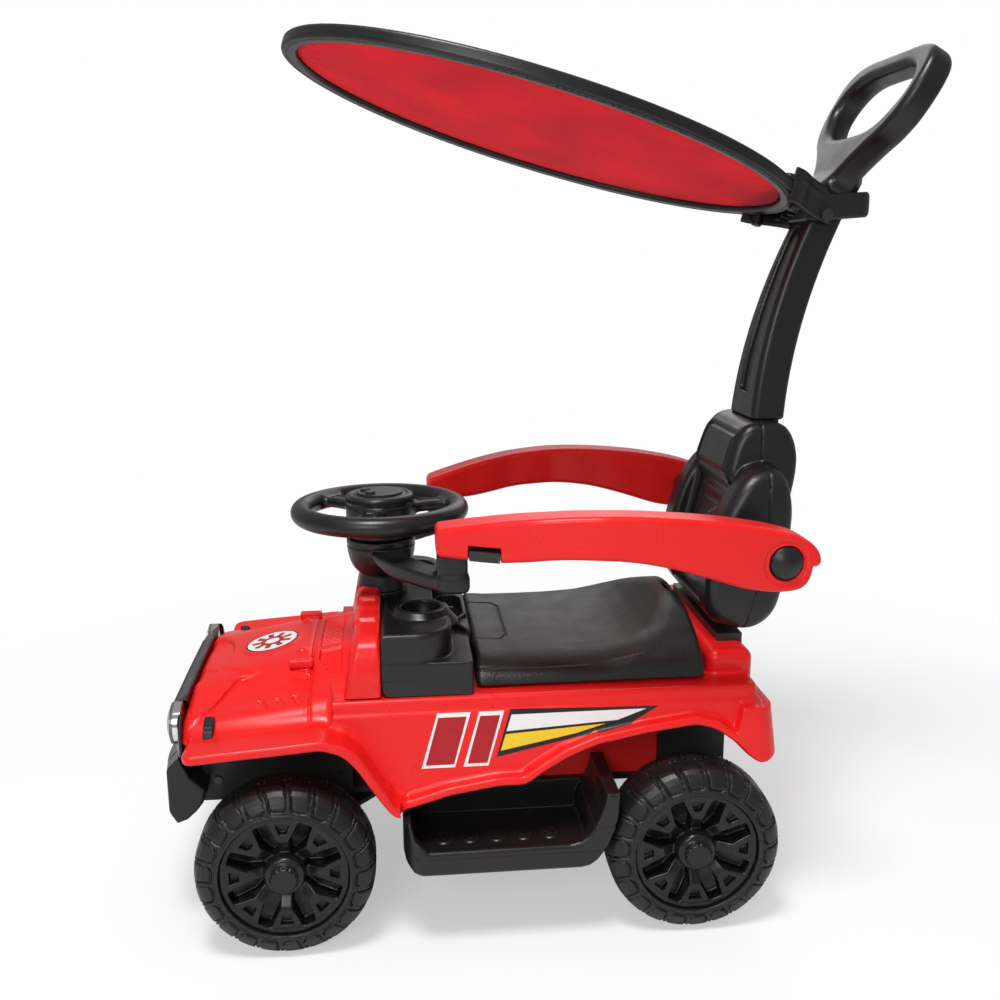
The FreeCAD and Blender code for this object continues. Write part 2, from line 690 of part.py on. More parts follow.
def rear_axle_nuts():
    """One nut at each end of the rear axle."""
    start = WHEEL_Y + WEB_T / 2 + HUB_STAND + RUN_GAP
    nuts = [hex_nut(side * start, side) for side in (-1, 1)]
    return Part.makeCompound([nut.translated(Vec(0, 0, AXLE_Z)) for nut in nuts])


def wheel():
    """Hollow blow-moulded wheel with its tyre, about the Y axis, outer face towards positive Y."""
    half = TYRE_W / 2
    bore = AXLE_R + RUN_GAP
    shoulder_r = WHEEL_R - SHOULDER_DROP
    sidewall_r = (shoulder_r + RIM_R) / 2
    tread = TREAD_W / 2
    bulge = (WHEEL_R * 2 + shoulder_r) / 3
    section = [
        (bore, -half), (HUB_R, -half), (HUB_R, -WEB_T / 2), (RIM_R - WALL, -WEB_T / 2),
        (RIM_R - WALL, -half + WALL),
        (RIM_R, -half), (sidewall_r, -half), (shoulder_r, -half + WALL),
        (bulge, -(tread + half - WALL) / 2),
        (WHEEL_R, -tread), (WHEEL_R, tread), (bulge, (tread + half - WALL) / 2), (shoulder_r, half - WALL),
        (sidewall_r, half), (RIM_R, half), (RIM_R, WEB_T / 2), (HUB_R, WEB_T / 2),
        (HUB_R, WEB_T / 2 + HUB_STAND),
        (bore, WEB_T / 2 + HUB_STAND),
    ]
    face = Part.Face(outline([Vec(r, y, 0) for r, y in section]))
    tyre = face.revolve(Vec(0, 0, 0), Vec(0, 1, 0), 360)
    grooves = []
    for i in range(LUG_COUNT):
        for side in (-1, 1):
            turn = 360 / LUG_COUNT * (i + side * LUG_PHASE_share)
            ends = sorted((side * (tread - SHOULDER_DROP), side * (half + OVERRUN)))
            depths = [WHEEL_R - LUG_GROOVE_DEPTH, shoulder_r - LUG_GROOVE_DEPTH]
            start, finish = depths if side > 0 else depths[::-1]
            z = -LUG_GROOVE_W / 2
            wedge = [Vec(start, ends[0], z), Vec(finish, ends[1], z), Vec(WHEEL_R + OVERRUN, ends[1], z),
                     Vec(WHEEL_R + OVERRUN, ends[0], z)]
            groove = Part.Face(outline(wedge)).extrude(Vec(0, 0, LUG_GROOVE_W))
            groove.rotate(Vec(0, 0, 0), Vec(0, 1, 0), turn)
            grooves.append(groove)
    return tyre.cut(Part.makeCompound(grooves))


def wheel_cover():
    """Spoked wheel trim with its hub nose, sitting in the outer recess of the wheel."""
    base = WEB_T / 2
    face_y = TYRE_W / 2
    outer_r = RIM_R - FIT_GAP
    hole_r = HUB_R + RUN_GAP
    top = face_y - COVER_SINK
    nose = face_y + HUB_NOSE_STAND
    inner_nose = nose - HUB_SHELL
    section = [
        (hole_r, base), (outer_r, base), (outer_r, top), (outer_r - COVER_RING_W, top),
        (outer_r - COVER_RING_W, base + COVER_T), (HUB_CONE_R + HUB_SHELL, base + COVER_T),
        (HUB_CONE_R, top - SPOKE_SINK),
        (HUB_NOSE_R, face_y), (HUB_NOSE_R, nose - HUB_SHELL), (HUB_NOSE_R - HUB_SHELL, nose), (0, nose),
        (0, inner_nose), (HUB_NOSE_R - HUB_SHELL, inner_nose),
        (HUB_NOSE_R - HUB_SHELL, face_y - COVER_SINK),
        (hole_r - HUB_SHELL, top - SPOKE_SINK), (hole_r, base + HUB_STAND + RUN_GAP),
    ]
    trim = Part.Face(outline([Vec(r, y, 0) for r, y in section])).revolve(Vec(0, 0, 0), Vec(0, 1, 0), 360)
    inner = HUB_CONE_R
    flare_from = inner + (outer_r - inner) * SPOKE_FLARE_share
    rim = outer_r - COVER_RING_W / 2
    spokes = []
    for i in range(SPOKE_COUNT):
        arm = side_prism([(inner, -SPOKE_W / 2), (flare_from, -SPOKE_W / 2), (rim, -SPOKE_FLARE_W / 2),
                          (rim, SPOKE_FLARE_W / 2), (flare_from, SPOKE_W / 2), (inner, SPOKE_W / 2)],
                         base + COVER_T, top - COVER_SINK / 2)
        hole_w = SPOKE_FLARE_W * SPOKE_HOLE_share
        deep = side_prism([(flare_from + COVER_T, 0), (rim - COVER_RING_W, -hole_w / 2),
                           (rim - COVER_RING_W, hole_w / 2)],
                          top - SPOKE_SINK, top + OVERRUN)
        arm = arm.cut(deep)
        slope = side_prism([(0, -SPOKE_W), (flare_from, -SPOKE_W), (flare_from, SPOKE_W), (0, SPOKE_W)],
                           top - SPOKE_SINK, top + OVERRUN)
        arm = arm.cut(slope)
        arm.rotate(Vec(0, 0, 0), Vec(0, 1, 0), 360 / SPOKE_COUNT * i)
        spokes.append(arm)
    disc = Part.makeCylinder(outer_r, top - base, Vec(0, base, 0), Vec(0, 1, 0))
    return fused([trim] + [spoke.common(disc) for spoke in spokes])


def at_wheel(shape, x, side):
    """A wheel piece moved from the origin to its axle, turned round on the right side."""
    piece = shape if side > 0 else mirrored(shape)
    return piece.translated(Vec(x, side * WHEEL_Y, AXLE_Z))


def knuckle():
    """Left steering knuckle: barrel on the kingpin, axle boss and arm with its pin."""
    low = AXLE_Z - KNUCKLE_R * 2 + RUN_GAP
    high = PLATE_Z - RUN_GAP
    barrel = rod_z(WHEELBASE, KINGPIN_Y, KNUCKLE_R, low, high)
    boss = rod_y(WHEELBASE, AXLE_Z, KNUCKLE_R, KINGPIN_Y, TYRE_IN_Y - RUN_GAP)
    arm = box(TIE_ROD_X, WHEELBASE, KINGPIN_Y - KNUCKLE_ARM_W / 2, KINGPIN_Y + KNUCKLE_ARM_W / 2,
              ARM_PLATE_Z, high)
    end = rod_z(TIE_ROD_X, KINGPIN_Y, KNUCKLE_ARM_W / 2, ARM_PLATE_Z, high)
    pin = rod_z(TIE_ROD_X, KINGPIN_Y, ARM_PIN_R, TIE_ROD_Z - RUN_GAP, ARM_PLATE_Z)
    solid = fused([barrel, boss, arm, end, pin])
    solid = solid.cut(rod_z(WHEELBASE, KINGPIN_Y, KINGPIN_R + FIT_GAP, low - OVERRUN, high + OVERRUN))
    stub = rod_y(WHEELBASE, AXLE_Z, AXLE_R + FIT_GAP, KINGPIN_Y + KINGPIN_R + RUN_GAP, TRACK)
    return solid.cut(stub)


def stub_axle():
    """Left front stub axle with its nut shoulder turned in one piece."""
    start = WHEEL_Y + WEB_T / 2 + HUB_STAND + RUN_GAP
    rod = rod_y(WHEELBASE, AXLE_Z, AXLE_R, KINGPIN_Y + KINGPIN_R + RUN_GAP, WHEEL_Y + axle_end())
    nut = hex_nut(start, 1).translated(Vec(WHEELBASE, 0, AXLE_Z))
    return fused([rod, nut])


def kingpins():
    """Two steel pins on which the knuckles turn."""
    low = AXLE_Z - KNUCKLE_R * 2 - CLEVIS_T
    pins = [rod_z(WHEELBASE, side * KINGPIN_Y, KINGPIN_R, low, PLATE_TOP) for side in (1, -1)]
    return Part.makeCompound(pins)


def slot(x, y, radius, play, z_from, z_to):
    """Cutter for a slot along X that leaves a pin play both ways."""
    ends = [rod_z(x + way * play, y, radius, z_from, z_to) for way in (-1, 1)]
    return fused([box(x - play, x + play, y - radius, y + radius, z_from, z_to)] + ends)


def tie_rod():
    """Bowed flat tie rod: the steering crank shifts it sideways, and its ends turn the knuckles."""
    half = TIE_ROD_W / 2
    plan = both_sides([
        (CRANK_X - half, TIE_ROD_NECK_HALF), (TIE_ROD_X - half, KINGPIN_Y + half),
        (TIE_ROD_X + half, KINGPIN_Y + half), (TIE_ROD_X + half, KINGPIN_Y - half),
        (CRANK_X + half, TIE_ROD_NECK_HALF - half),
    ])
    plate = plan_prism(plan, TIE_ROD_Z, TIE_ROD_Z + TIE_ROD_T)
    top = TIE_ROD_Z + TIE_ROD_T + OVERRUN
    for y in (-KINGPIN_Y, 0, KINGPIN_Y):
        x = CRANK_X if y == 0 else TIE_ROD_X
        plate = plate.cut(slot(x, y, ARM_PIN_R + RUN_GAP, SLOT_PLAY, TIE_ROD_Z - OVERRUN, top))
    return plate


def steering_shaft():
    """Steel steering rod with its crank and crank pin at the foot."""
    rod = rod_z(COLUMN_X, 0, SHAFT_R, CRANK_Z, STEER_Z + STEER_HUB_H / 2)
    crank = box(CRANK_X, COLUMN_X, -CRANK_W / 2, CRANK_W / 2, CRANK_Z, CRANK_Z + CRANK_T)
    eyes = [rod_z(x, 0, CRANK_W / 2, CRANK_Z, CRANK_Z + CRANK_T) for x in (CRANK_X, COLUMN_X)]
    pin = rod_z(CRANK_X, 0, ARM_PIN_R, CRANK_Z + CRANK_T, TIE_ROD_Z + TIE_ROD_T)
    return fused([rod, crank, pin] + eyes)


def column_sleeve():
    """Fixed black sleeve on the console, widening into a bowl under the steering wheel."""
    bore = SHAFT_R + RUN_GAP
    section = [
        (bore, CONSOLE_Z), (COLUMN_BASE_R, CONSOLE_Z),
        (COLUMN_BASE_R, CONSOLE_Z + COLUMN_NECK_H * COLUMN_STRAIGHT_share),
        (COLUMN_NECK_R, NECK_TOP), (BOWL_R * BOWL_WAIST_share, NECK_TOP + BOWL_H * BOWL_WAIST_UP_share),
        (BOWL_R, NECK_TOP + BOWL_H), (BOWL_R, BOWL_TOP), (bore, BOWL_TOP),
    ]
    face = Part.Face(outline([Vec(COLUMN_X + r, 0, z) for r, z in section]))
    return face.revolve(Vec(COLUMN_X, 0, 0), Vec(0, 0, 1), 360)


def guard_bracket():
    """Black bow screwed round the bowl that carries the front ends of both armrests."""
    top = NECK_TOP + BOWL_H - SEAT_GAP
    low = top - GUARD_T
    inner = BOWL_R + SEAT_GAP
    ring = rod_z(COLUMN_X, 0, COLUMN_NECK_R + GUARD_RING_W, low, top)
    reach = inner
    half = GUARD_ARM_W / 2
    left = plan_prism([(COLUMN_X + half, reach * GUARD_ROOT_share),
                       (COLUMN_X - half, reach * GUARD_ROOT_share),
                       (POST_X - POST_W / 2, POST_Y - half), (POST_X - POST_W / 2, POST_Y + half),
                       (POST_X + POST_W / 2, POST_Y + half), (COLUMN_X, reach + half)], low, top)
    post = plan_prism([(POST_X - POST_W / 2, POST_Y - half), (POST_X + POST_W / 2, POST_Y - half),
                       (POST_X + POST_W / 2, POST_Y + half), (POST_X - POST_W / 2, POST_Y + half)],
                      low, ARM_Z - RUN_GAP, half * POST_ROUND_share)
    bow = fused([ring, left, post, mirrored(left), mirrored(post)])
    section = [(0, low - OVERRUN), (COLUMN_NECK_R + SEAT_GAP, low - OVERRUN),
               (COLUMN_NECK_R + SEAT_GAP, NECK_TOP),
               (BOWL_R * BOWL_WAIST_share + SEAT_GAP, NECK_TOP + BOWL_H * BOWL_WAIST_UP_share - SEAT_GAP),
               (inner, top - SEAT_GAP), (inner, top + OVERRUN), (0, top + OVERRUN)]
    hollow = Part.Face(outline([Vec(COLUMN_X + r, 0, z) for r, z in section]))
    return bow.cut(hollow.revolve(Vec(COLUMN_X, 0, 0), Vec(0, 0, 1), 360))


def steering_wheel():
    """Hollow hub, three spokes and a round rim."""
    hub = rod_z(COLUMN_X, 0, STEER_HUB_R, STEER_Z, STEER_TOP)
    rim = Part.makeTorus(STEER_RING_R, STEER_TUBE_R, Vec(COLUMN_X, 0, RING_Z), Vec(0, 0, 1))
    spokes = []
    for i in range(STEER_SPOKES):
        spoke = box(COLUMN_X + STEER_HUB_R - STEER_SHELL, COLUMN_X + STEER_RING_R, -STEER_SPOKE_W / 2,
                    STEER_SPOKE_W / 2,
                    RING_Z - STEER_SPOKE_T / 2, RING_Z + STEER_SPOKE_T / 2)
        spoke.rotate(Vec(COLUMN_X, 0, 0), Vec(0, 0, 1), STEER_SPOKE_ANGLE + 360 / STEER_SPOKES * i)
        spokes.append(spoke)
    solid = fused([hub, rim] + spokes)
    hollow = rod_z(COLUMN_X, 0, STEER_HUB_R - STEER_SHELL, STEER_Z + STEER_SHELL, STEER_TOP - STEER_SHELL)
    hub_tube = rod_z(COLUMN_X, 0, SHAFT_R + STEER_SHELL, STEER_Z, STEER_Z + STEER_HUB_H / 2)
    solid = fused([solid.cut(hollow), hub_tube])
    solid = solid.cut(rod_z(COLUMN_X, 0, SHAFT_R + FIT_GAP, STEER_Z - OVERRUN,
                            STEER_Z + STEER_HUB_H / 2 + FIT_GAP))
    for way in (-1, 1):
        x, y = music_place(way)
        solid = solid.cut(rod_z(x, y, MUSIC_R + RUN_GAP, STEER_TOP - STEER_SHELL - OVERRUN,
                                STEER_TOP + OVERRUN))
    return solid


def music_place(way):
    """Centre of one sound button on the hub."""
    turn = math.radians(MUSIC_ANGLE + way * MUSIC_SPREAD)
    return COLUMN_X + MUSIC_AT_R * math.cos(turn), MUSIC_AT_R * math.sin(turn)


def hub_pad():
    """Thin round pad on the hub, pierced for the sound buttons."""
    pad = rod_z(COLUMN_X, 0, PAD_R, STEER_TOP, STEER_TOP + PAD_T)
    for way in (-1, 1):
        x, y = music_place(way)
        pad = pad.cut(rod_z(x, y, MUSIC_R + RUN_GAP, STEER_TOP - OVERRUN, STEER_TOP + PAD_T + OVERRUN))
    return pad


def music_button(way):
    """Round sound button that sinks into the hub when it is pressed."""
    x, y = music_place(way)
    foot = module_top() + MUSIC_TRAVEL + RUN_GAP
    return rod_z(x, y, MUSIC_R, foot, STEER_TOP + PAD_T + MUSIC_STAND)


def module_top():
    """Upper face of the sound module under the hub's top wall."""
    return STEER_TOP - STEER_SHELL - MUSIC_TRAVEL - MUSIC_STAND


def sound_module():
    """Battery and sound box on the hub tube inside the steering wheel."""
    low = STEER_Z + STEER_HUB_H / 2 + RUN_GAP
    return rod_z(COLUMN_X, 0, MODULE_R, low, module_top())


def dash_console():
    """Black console between cowl and seat with two cup wells and the base of the column."""
    plan = both_sides([(CONSOLE_FRONT, CONSOLE_HALF), (CONSOLE_REAR, CONSOLE_HALF)])
    low = LEDGE_Z + SEAT_GAP
    plinth_plan = both_sides([(CONSOLE_FRONT, CONSOLE_HALF), (CONSOLE_REAR - PLINTH_L, CONSOLE_HALF)])
    solid = plan_prism(plan, low, CONSOLE_Z, CONSOLE_ROUND)
    square = box(CONSOLE_FRONT - CONSOLE_ROUND * 2, CONSOLE_FRONT, -CONSOLE_HALF, CONSOLE_HALF, low,
                 CONSOLE_Z)
    plinth = plan_prism(plinth_plan, low, LEDGE_Z + PLINTH_H)
    rings = [rod_z(cup_x(), side * CUP_Y, CUP_RING_R, CONSOLE_Z - CUP_RING_H,
                   CONSOLE_Z + CUP_RING_H) for side in (-1, 1)]
    solid = fused([solid, square, plinth] + rings)
    hollow = plan_prism(both_sides([(CONSOLE_FRONT - CONSOLE_SHELL, CONSOLE_HALF - CONSOLE_SHELL),
                                    (CONSOLE_REAR + CONSOLE_SHELL, CONSOLE_HALF - CONSOLE_SHELL)]),
                        low - OVERRUN, CONSOLE_Z - CONSOLE_SHELL, CONSOLE_ROUND)
    for side in (-1, 1):
        hollow = hollow.cut(rod_z(cup_x(), side * CUP_Y, CUP_R + CONSOLE_SHELL, low - OVERRUN, CONSOLE_Z))
    solid = solid.cut(hollow)
    for side in (-1, 1):
        solid = solid.cut(rod_z(cup_x(), side * CUP_Y, CUP_R, CONSOLE_Z - CUP_DEPTH,
                                CONSOLE_Z + CUP_RING_H + OVERRUN))
    above = box(CONSOLE_REAR - PLINTH_L - OVERRUN, CONSOLE_REAR - PLINTH_L + POD_L + SEAT_GAP,
                -POD_HALF - SEAT_GAP,
                POD_HALF + SEAT_GAP, CONSOLE_Z - POD_DROP - OVERRUN, CONSOLE_Z + OVERRUN)
    solid = solid.cut(pod_block(SEAT_GAP)).cut(above)
    return solid.cut(rod_z(COLUMN_X, 0, SHAFT_R + RUN_GAP, low - OVERRUN, CONSOLE_Z + OVERRUN))


def cup_x():
    """Station of the cup wells."""
    return CONSOLE_FRONT - CUP_BACK


def pod_block(gap):
    """Outer form of the gear pod, let into the console's rear edge."""
    rear = CONSOLE_REAR - PLINTH_L
    return box(rear - gap, rear + POD_L + gap, -POD_HALF - gap, POD_HALF + gap, LEDGE_Z + PLINTH_H,
               CONSOLE_Z - POD_DROP)


def gear_pod():
    """Small open tray in the middle of the console's rear edge."""
    rear = CONSOLE_REAR - PLINTH_L
    top = CONSOLE_Z - POD_DROP
    recess = box(rear + POD_WALL, rear + POD_L - POD_WALL, -POD_HALF + POD_WALL, POD_HALF - POD_WALL,
                 top - POD_RECESS_DEPTH, top + OVERRUN)
    return pod_block(0).cut(recess)


def grille_panel():
    """Black front panel with upright slots, between the lamps."""
    front = HOOD_FRONT + NOSE_LEAN + GRILLE_T
    back = HOOD_FRONT + NOSE_LEAN + SEAT_GAP
    top = HOOD_FRONT_Z
    low = top - GRILLE_H
    plan = both_sides([(back, HOOD_HALF), (front - GRILLE_END_BACK, HOOD_HALF), (front, LAMP_Y - LAMP_R)])
    face = symmetric([(across * HOOD_HALF, top - drop * HOOD_NOSE_CROWN) for across,
                      drop in HOOD_section_shares[:4]]
                     + [(HOOD_HALF, low + GRILLE_H * GRILLE_MARGIN_share), (HOOD_HALF - GRILLE_T, low)])
    panel = plan_prism(plan, low, top).common(front_prism(face, back, front))
    for i in range(GRILLE_BARS):
        y = (i - (GRILLE_BARS - 1) / 2) * 2 * GRILLE_BAR_GAP_W
        panel = panel.cut(box(front - GRILLE_SLOT_DEPTH, front + OVERRUN, y - GRILLE_BAR_GAP_W / 2,
                              y + GRILLE_BAR_GAP_W / 2,
                              low + GRILLE_H * GRILLE_MARGIN_share, top - GRILLE_H * GRILLE_MARGIN_share))
    for side in (-1, 1):
        panel = panel.cut(Part.makeCylinder(LAMP_R + FIT_GAP, GRILLE_T + OVERRUN, lamp_place(side),
                                            Vec(1, 0, 0)))
    return panel


def lamp_place(side):
    """Middle of a headlamp at the back of its bowl."""
    up = HOOD_FRONT_Z - GRILLE_H + GRILLE_H * LAMP_UP_share
    return Vec(HOOD_FRONT + NOSE_LEAN + SEAT_GAP + LAMP_WALL, side * LAMP_Y, up)


def headlight_bowl(side):
    """Bright reflector cup of a headlamp."""
    at = lamp_place(side)
    depth = GRILLE_T - GRILLE_END_BACK * LAMP_SINK_share
    cup = Part.makeCylinder(LAMP_R, depth - LAMP_WALL, at, Vec(1, 0, 0))
    bowl = Part.makeCone(LAMP_R * LAMP_FLOOR_share, LAMP_R - LAMP_WALL, depth - 2 * LAMP_WALL,
                         at + Vec(LAMP_WALL, 0, 0), Vec(1, 0, 0))
    return cup.cut(bowl)


def headlight_lens(side):
    """Clear domed lens seated on the rim of the bowl."""
    depth = GRILLE_T - GRILLE_END_BACK * LAMP_SINK_share
    at = lamp_place(side) + Vec(depth - LAMP_WALL, 0, 0)
    section = [Vec(0, 0, 0), Vec(0, LAMP_R, 0), Vec(LENS_T, LAMP_R, 0),
               Vec(LENS_DOME, LAMP_R * LENS_CROWN_share, 0), Vec(LENS_DOME + LENS_T * LENS_TIP_share, 0, 0)]
    dome = Part.Face(outline(section)).revolve(Vec(0, 0, 0), Vec(1, 0, 0), 360)
    return dome.translated(at)


def front_bumper():
    """Black bumper bar with swept ends, bolted to the front wall of the underframe."""
    rear = HOOD_FRONT + NOSE_LEAN
    front = rear + BUMPER_REACH
    top = HOOD_FRONT_Z - GRILLE_H
    low = top - BUMPER_H
    side = side_prism([(rear + along * BUMPER_REACH, low + up * BUMPER_H) for along,
                       up in BUMPER_side_shares],
                      -BUMPER_HALF, BUMPER_HALF)
    plan = both_sides([(rear, BUMPER_HALF), (front - BUMPER_END_BACK, BUMPER_HALF),
                       (front, BUMPER_HALF - 2 * BUMPER_REACH)])
    bar = side.common(plan_prism(plan, low - OVERRUN, top + OVERRUN))
    mount = box(HOOD_FRONT - WALL - RUN_GAP, rear + OVERRUN, -BUMPER_MOUNT_HALF, BUMPER_MOUNT_HALF,
                low + BUMPER_H * BUMPER_MOUNT_LOW_share,
                low + BUMPER_H * BUMPER_MOUNT_TOP_share)
    return fused([bar, mount])


def hood_flank(x):
    """Y and Z of the left hood flank at a station, from its upright part up to the shoulder."""
    share = (x - COWL_REAR) / (HOOD_FRONT + NOSE_LEAN - COWL_REAR)
    crest = HOOD_REAR_Z + (HOOD_FRONT_Z - HOOD_REAR_Z) * share
    crown = HOOD_CROWN + (HOOD_NOSE_CROWN - HOOD_CROWN) * share
    return [(across * HOOD_HALF, crest - drop * crown) for across, drop in HOOD_section_shares[:1:-1]]


def hood_latches():
    """Black rubber hood latch on each flank of the nose, lying on the flank from the fender up."""
    rear = HOOD_FRONT - LATCH_BACK - LATCH_L
    (x_in, z_in), (x_out, z_out) = fender_line()[-2:]
    foot = z_in + (z_out - z_in) * (rear - x_in) / (x_out - x_in) + FENDER_T + RUN_GAP
    inner = [(y + SEAT_GAP, z) for y, z in [(HOOD_HALF, foot)] + hood_flank(rear)]
    outer = [(y + LATCH_STAND, z) for y, z in inner]
    left = front_prism(inner + outer[::-1], rear, rear + LATCH_L)
    return Part.makeCompound([left, mirrored(left)])


def seat_form(inset):
    """Outer form of the seat lid, or its hollow, with the raised and crowned rear edge."""
    run = SEAT_FRONT + SEAT_REAR
    low = SEAT_Z - (OVERRUN if inset else 0)
    rise = [(-SEAT_REAR + along * run, SEAT_TOP + up * SEAT_RISE - inset) for along, up in SEAT_top_shares]
    rise[0] = (SEAT_FRONT - inset, SEAT_TOP - inset)
    rise[-1] = (-SEAT_REAR + inset, rise[-1][1])
    profile = rise + [(-SEAT_REAR + inset, low), (SEAT_FRONT - inset, low)]
    half = SEAT_HALF - inset
    crown = SEAT_TOP + SEAT_RISE - inset
    section = symmetric([(SEAT_CROWN_HALF, crown),
                         ((SEAT_CROWN_HALF + half) / 2, crown - SEAT_EDGE_DROP * SEAT_SHOULDER_share),
                         (half, crown - SEAT_EDGE_DROP), (half, low)])
    return side_prism(profile, -half, half).common(front_prism(section, -SEAT_REAR, SEAT_FRONT))


def seat_lid():
    """Hollow seat that hinges at its front edge over the storage bin."""
    lid = seat_form(0).cut(seat_form(SEAT_SHELL))
    for side in (-1, 1):
        middle = side * (HINGE_EAR_Y - HINGE_EAR_W - RUN_GAP)
        ends = (middle - HINGE_EAR_W / 2, middle + HINGE_EAR_W / 2)
        ear = rod_y(HINGE_X, HINGE_Z, HINGE_EAR_R, *ends)
        rib = box(HINGE_X, SEAT_FRONT - SEAT_SHELL, *ends, HINGE_Z, SEAT_TOP - SEAT_SHELL)
        root = box(HINGE_X - HINGE_EAR_R, HINGE_X + HINGE_EAR_R, *ends, HINGE_Z, SEAT_TOP - SEAT_SHELL)
        lid = fused([lid, ear, rib, root])
        way = (side * HINGE_EAR_Y - HINGE_EAR_W / 2 - RUN_GAP,
               side * HINGE_EAR_Y + HINGE_EAR_W / 2 + RUN_GAP)
        lid = lid.cut(box(HINGE_X, SEAT_FRONT + OVERRUN, *way, SEAT_Z - OVERRUN, HINGE_Z + HINGE_PIN_R))
    lid = lid.cut(rod_y(HINGE_X, HINGE_Z, HINGE_PIN_R + RUN_GAP, -HINGE_EAR_Y, HINGE_EAR_Y))
    notch = box(-SEAT_REAR - OVERRUN, -SEAT_REAR + SEAT_H / 2, -SEAT_H / 2, SEAT_H / 2,
                SEAT_TOP + SEAT_RISE - SEAT_SHELL * 3,
                SEAT_TOP + SEAT_RISE + OVERRUN)
    return lid.cut(notch)


def seat_hinge_pin():
    """Steel hinge rod with the two ears that stand on the ledge."""
    reach = HINGE_EAR_Y + HINGE_EAR_W / 2
    parts = [rod_y(HINGE_X, HINGE_Z, HINGE_PIN_R, -reach, reach)]
    for side in (-1, 1):
        ends = (side * HINGE_EAR_Y - HINGE_EAR_W / 2, side * HINGE_EAR_Y + HINGE_EAR_W / 2)
        parts.append(box(HINGE_X - HINGE_PIN_R, HINGE_X + HINGE_PIN_R, *ends, LEDGE_Z, HINGE_Z))
    return fused(parts)


def backrest_form():
    """Whole backrest with its head block, before it is parted along the seam."""
    rear = BACK_FRONT - BACK_L
    back = [(BACK_FRONT - along * BACK_L, FOOT_Z + up * BACK_H) for along, up in BACK_shares]
    corner = BACK_HALF * BACK_CORNER_share
    face = symmetric([(BACK_HALF - corner, FOOT_Z), (BACK_HALF, FOOT_Z + corner),
                      (BACK_HALF, BACK_TOP - corner),
                      (BACK_HALF - corner, BACK_TOP + corner)])
    block = side_prism(back, -BACK_HALF, BACK_HALF).common(front_prism(face, rear - OVERRUN,
                                                                       BACK_FRONT + OVERRUN, corner))
    head_front = BACK_FRONT - BACK_LEAN
    head = side_prism([(head_front - along * HEAD_L, BACK_TOP + up * HEAD_H) for along, up in HEAD_shares],
                      -HEAD_HALF, HEAD_HALF)
    panel = box(BACK_FRONT - BACK_LEAN - BACK_PANEL_DEPTH, BACK_FRONT + OVERRUN, -BACK_PANEL_HALF,
                BACK_PANEL_HALF,
                FOOT_Z + BACK_H * BACK_PANEL_FOOT_share, BACK_TOP)
    slant = side_prism([(BACK_FRONT - BACK_PANEL_DEPTH, FOOT_Z), (BACK_FRONT + OVERRUN, FOOT_Z),
                        (BACK_FRONT + OVERRUN, BACK_TOP),
                        (BACK_FRONT - BACK_LEAN, BACK_TOP)], -BACK_PANEL_HALF, BACK_PANEL_HALF)
    whole = fused([block.cut(panel.common(slant)), head])
    socket = box(POLE_X - POLE_LOW_T / 2 - SEAT_GAP, POLE_X + POLE_LOW_T / 2 + SEAT_GAP,
                 -POLE_FOOT_HALF - SEAT_GAP,
                 POLE_FOOT_HALF + SEAT_GAP, HEAD_TOP - POLE_FOOT_DEPTH - SEAT_GAP, HEAD_TOP + OVERRUN)
    pins = rod_y(PIVOT_X, PIVOT_Z, PIVOT_R + FIT_GAP, -TRACK, TRACK)
    bosses = [rod_y(PIVOT_X, PIVOT_Z, BOSS_R, BACK_HALF - corner,
                    arm_edge(PIVOT_X - BOSS_R) - ARM_W - RUN_GAP)]
    bosses.append(mirrored(bosses[0]))
    return fused([whole.cut(socket)] + bosses).cut(pins)


def seam_cutter():
    """Space in front of the backrest's moulding seam, which leans back with the backrest."""
    foot = BACK_FRONT - BACK_L * BACK_SEAM_share
    head = BACK_FRONT - BACK_LEAN - HEAD_L * BACK_SEAM_share
    high = HEAD_TOP + OVERRUN
    return side_prism([(foot, PEDESTAL_Z), (BACK_FRONT + BACK_L, PEDESTAL_Z), (BACK_FRONT + BACK_L, high),
                       (head, high)],
                      -TRACK, TRACK)


def backrest_foot():
    """Black block between the pedestal and the backrest."""
    return plan_prism(both_sides([(-FOOT_BACK, FOOT_HALF), (-FOOT_BACK - FOOT_L, FOOT_HALF)]), PEDESTAL_Z,
                      FOOT_Z)


def arm_out(share):
    """Y of the left armrest's outer edge for a share of the way out from the post to the widest place."""
    return ARM_OUT_FRONT + share * (ARM_OUT - ARM_OUT_FRONT)


def arm_edge(x):
    """Y of the left armrest's outer edge at a station."""
    along = (x - ARM_REAR) / ARM_L
    spans = zip(ARM_plan_shares, ARM_plan_shares[1:])
    start, end = next(span for span in spans if along <= span[1][0])
    return arm_out(start[1] + (end[1] - start[1]) * (along - start[0]) / (end[0] - start[0]))


def arm_strip():
    """Curved strip that the left armrest covers seen from above."""
    outer = [(ARM_REAR + along * ARM_L, arm_out(share)) for along, share in ARM_plan_shares]
    inner = [(x, y - ARM_W) for x, y in reversed(outer)]
    return plan_prism(outer + inner, ARM_Z - TRACK, ARM_Z + TRACK, ARM_W)


def armrest():
    """Left armrest, swinging on its pivot and resting on the guard's post."""
    profile = [(ARM_REAR + along * ARM_L, ARM_Z + up * ARM_DEPTH) for along,
               up in ARM_top_shares + ARM_under_shares]
    arm = side_prism(profile, ARM_IN_FRONT, ARM_OUT, ARM_DEPTH).common(arm_strip())
    arm = arm.cut(rod_y(PIVOT_X, PIVOT_Z, PIVOT_R + RUN_GAP, 0, TRACK))
    arm = arm.cut(rod_y(PIVOT_X, PIVOT_Z, KNOB_R + RUN_GAP, pivot_face() - KNOB_SINK - RUN_GAP, TRACK))
    return arm.cut(latch_pocket(RUN_GAP, LATCH_KEY_TRAVEL))


def pivot_face():
    """Y of the armrest's outer face at the pivot."""
    return arm_edge(PIVOT_X - KNOB_R)


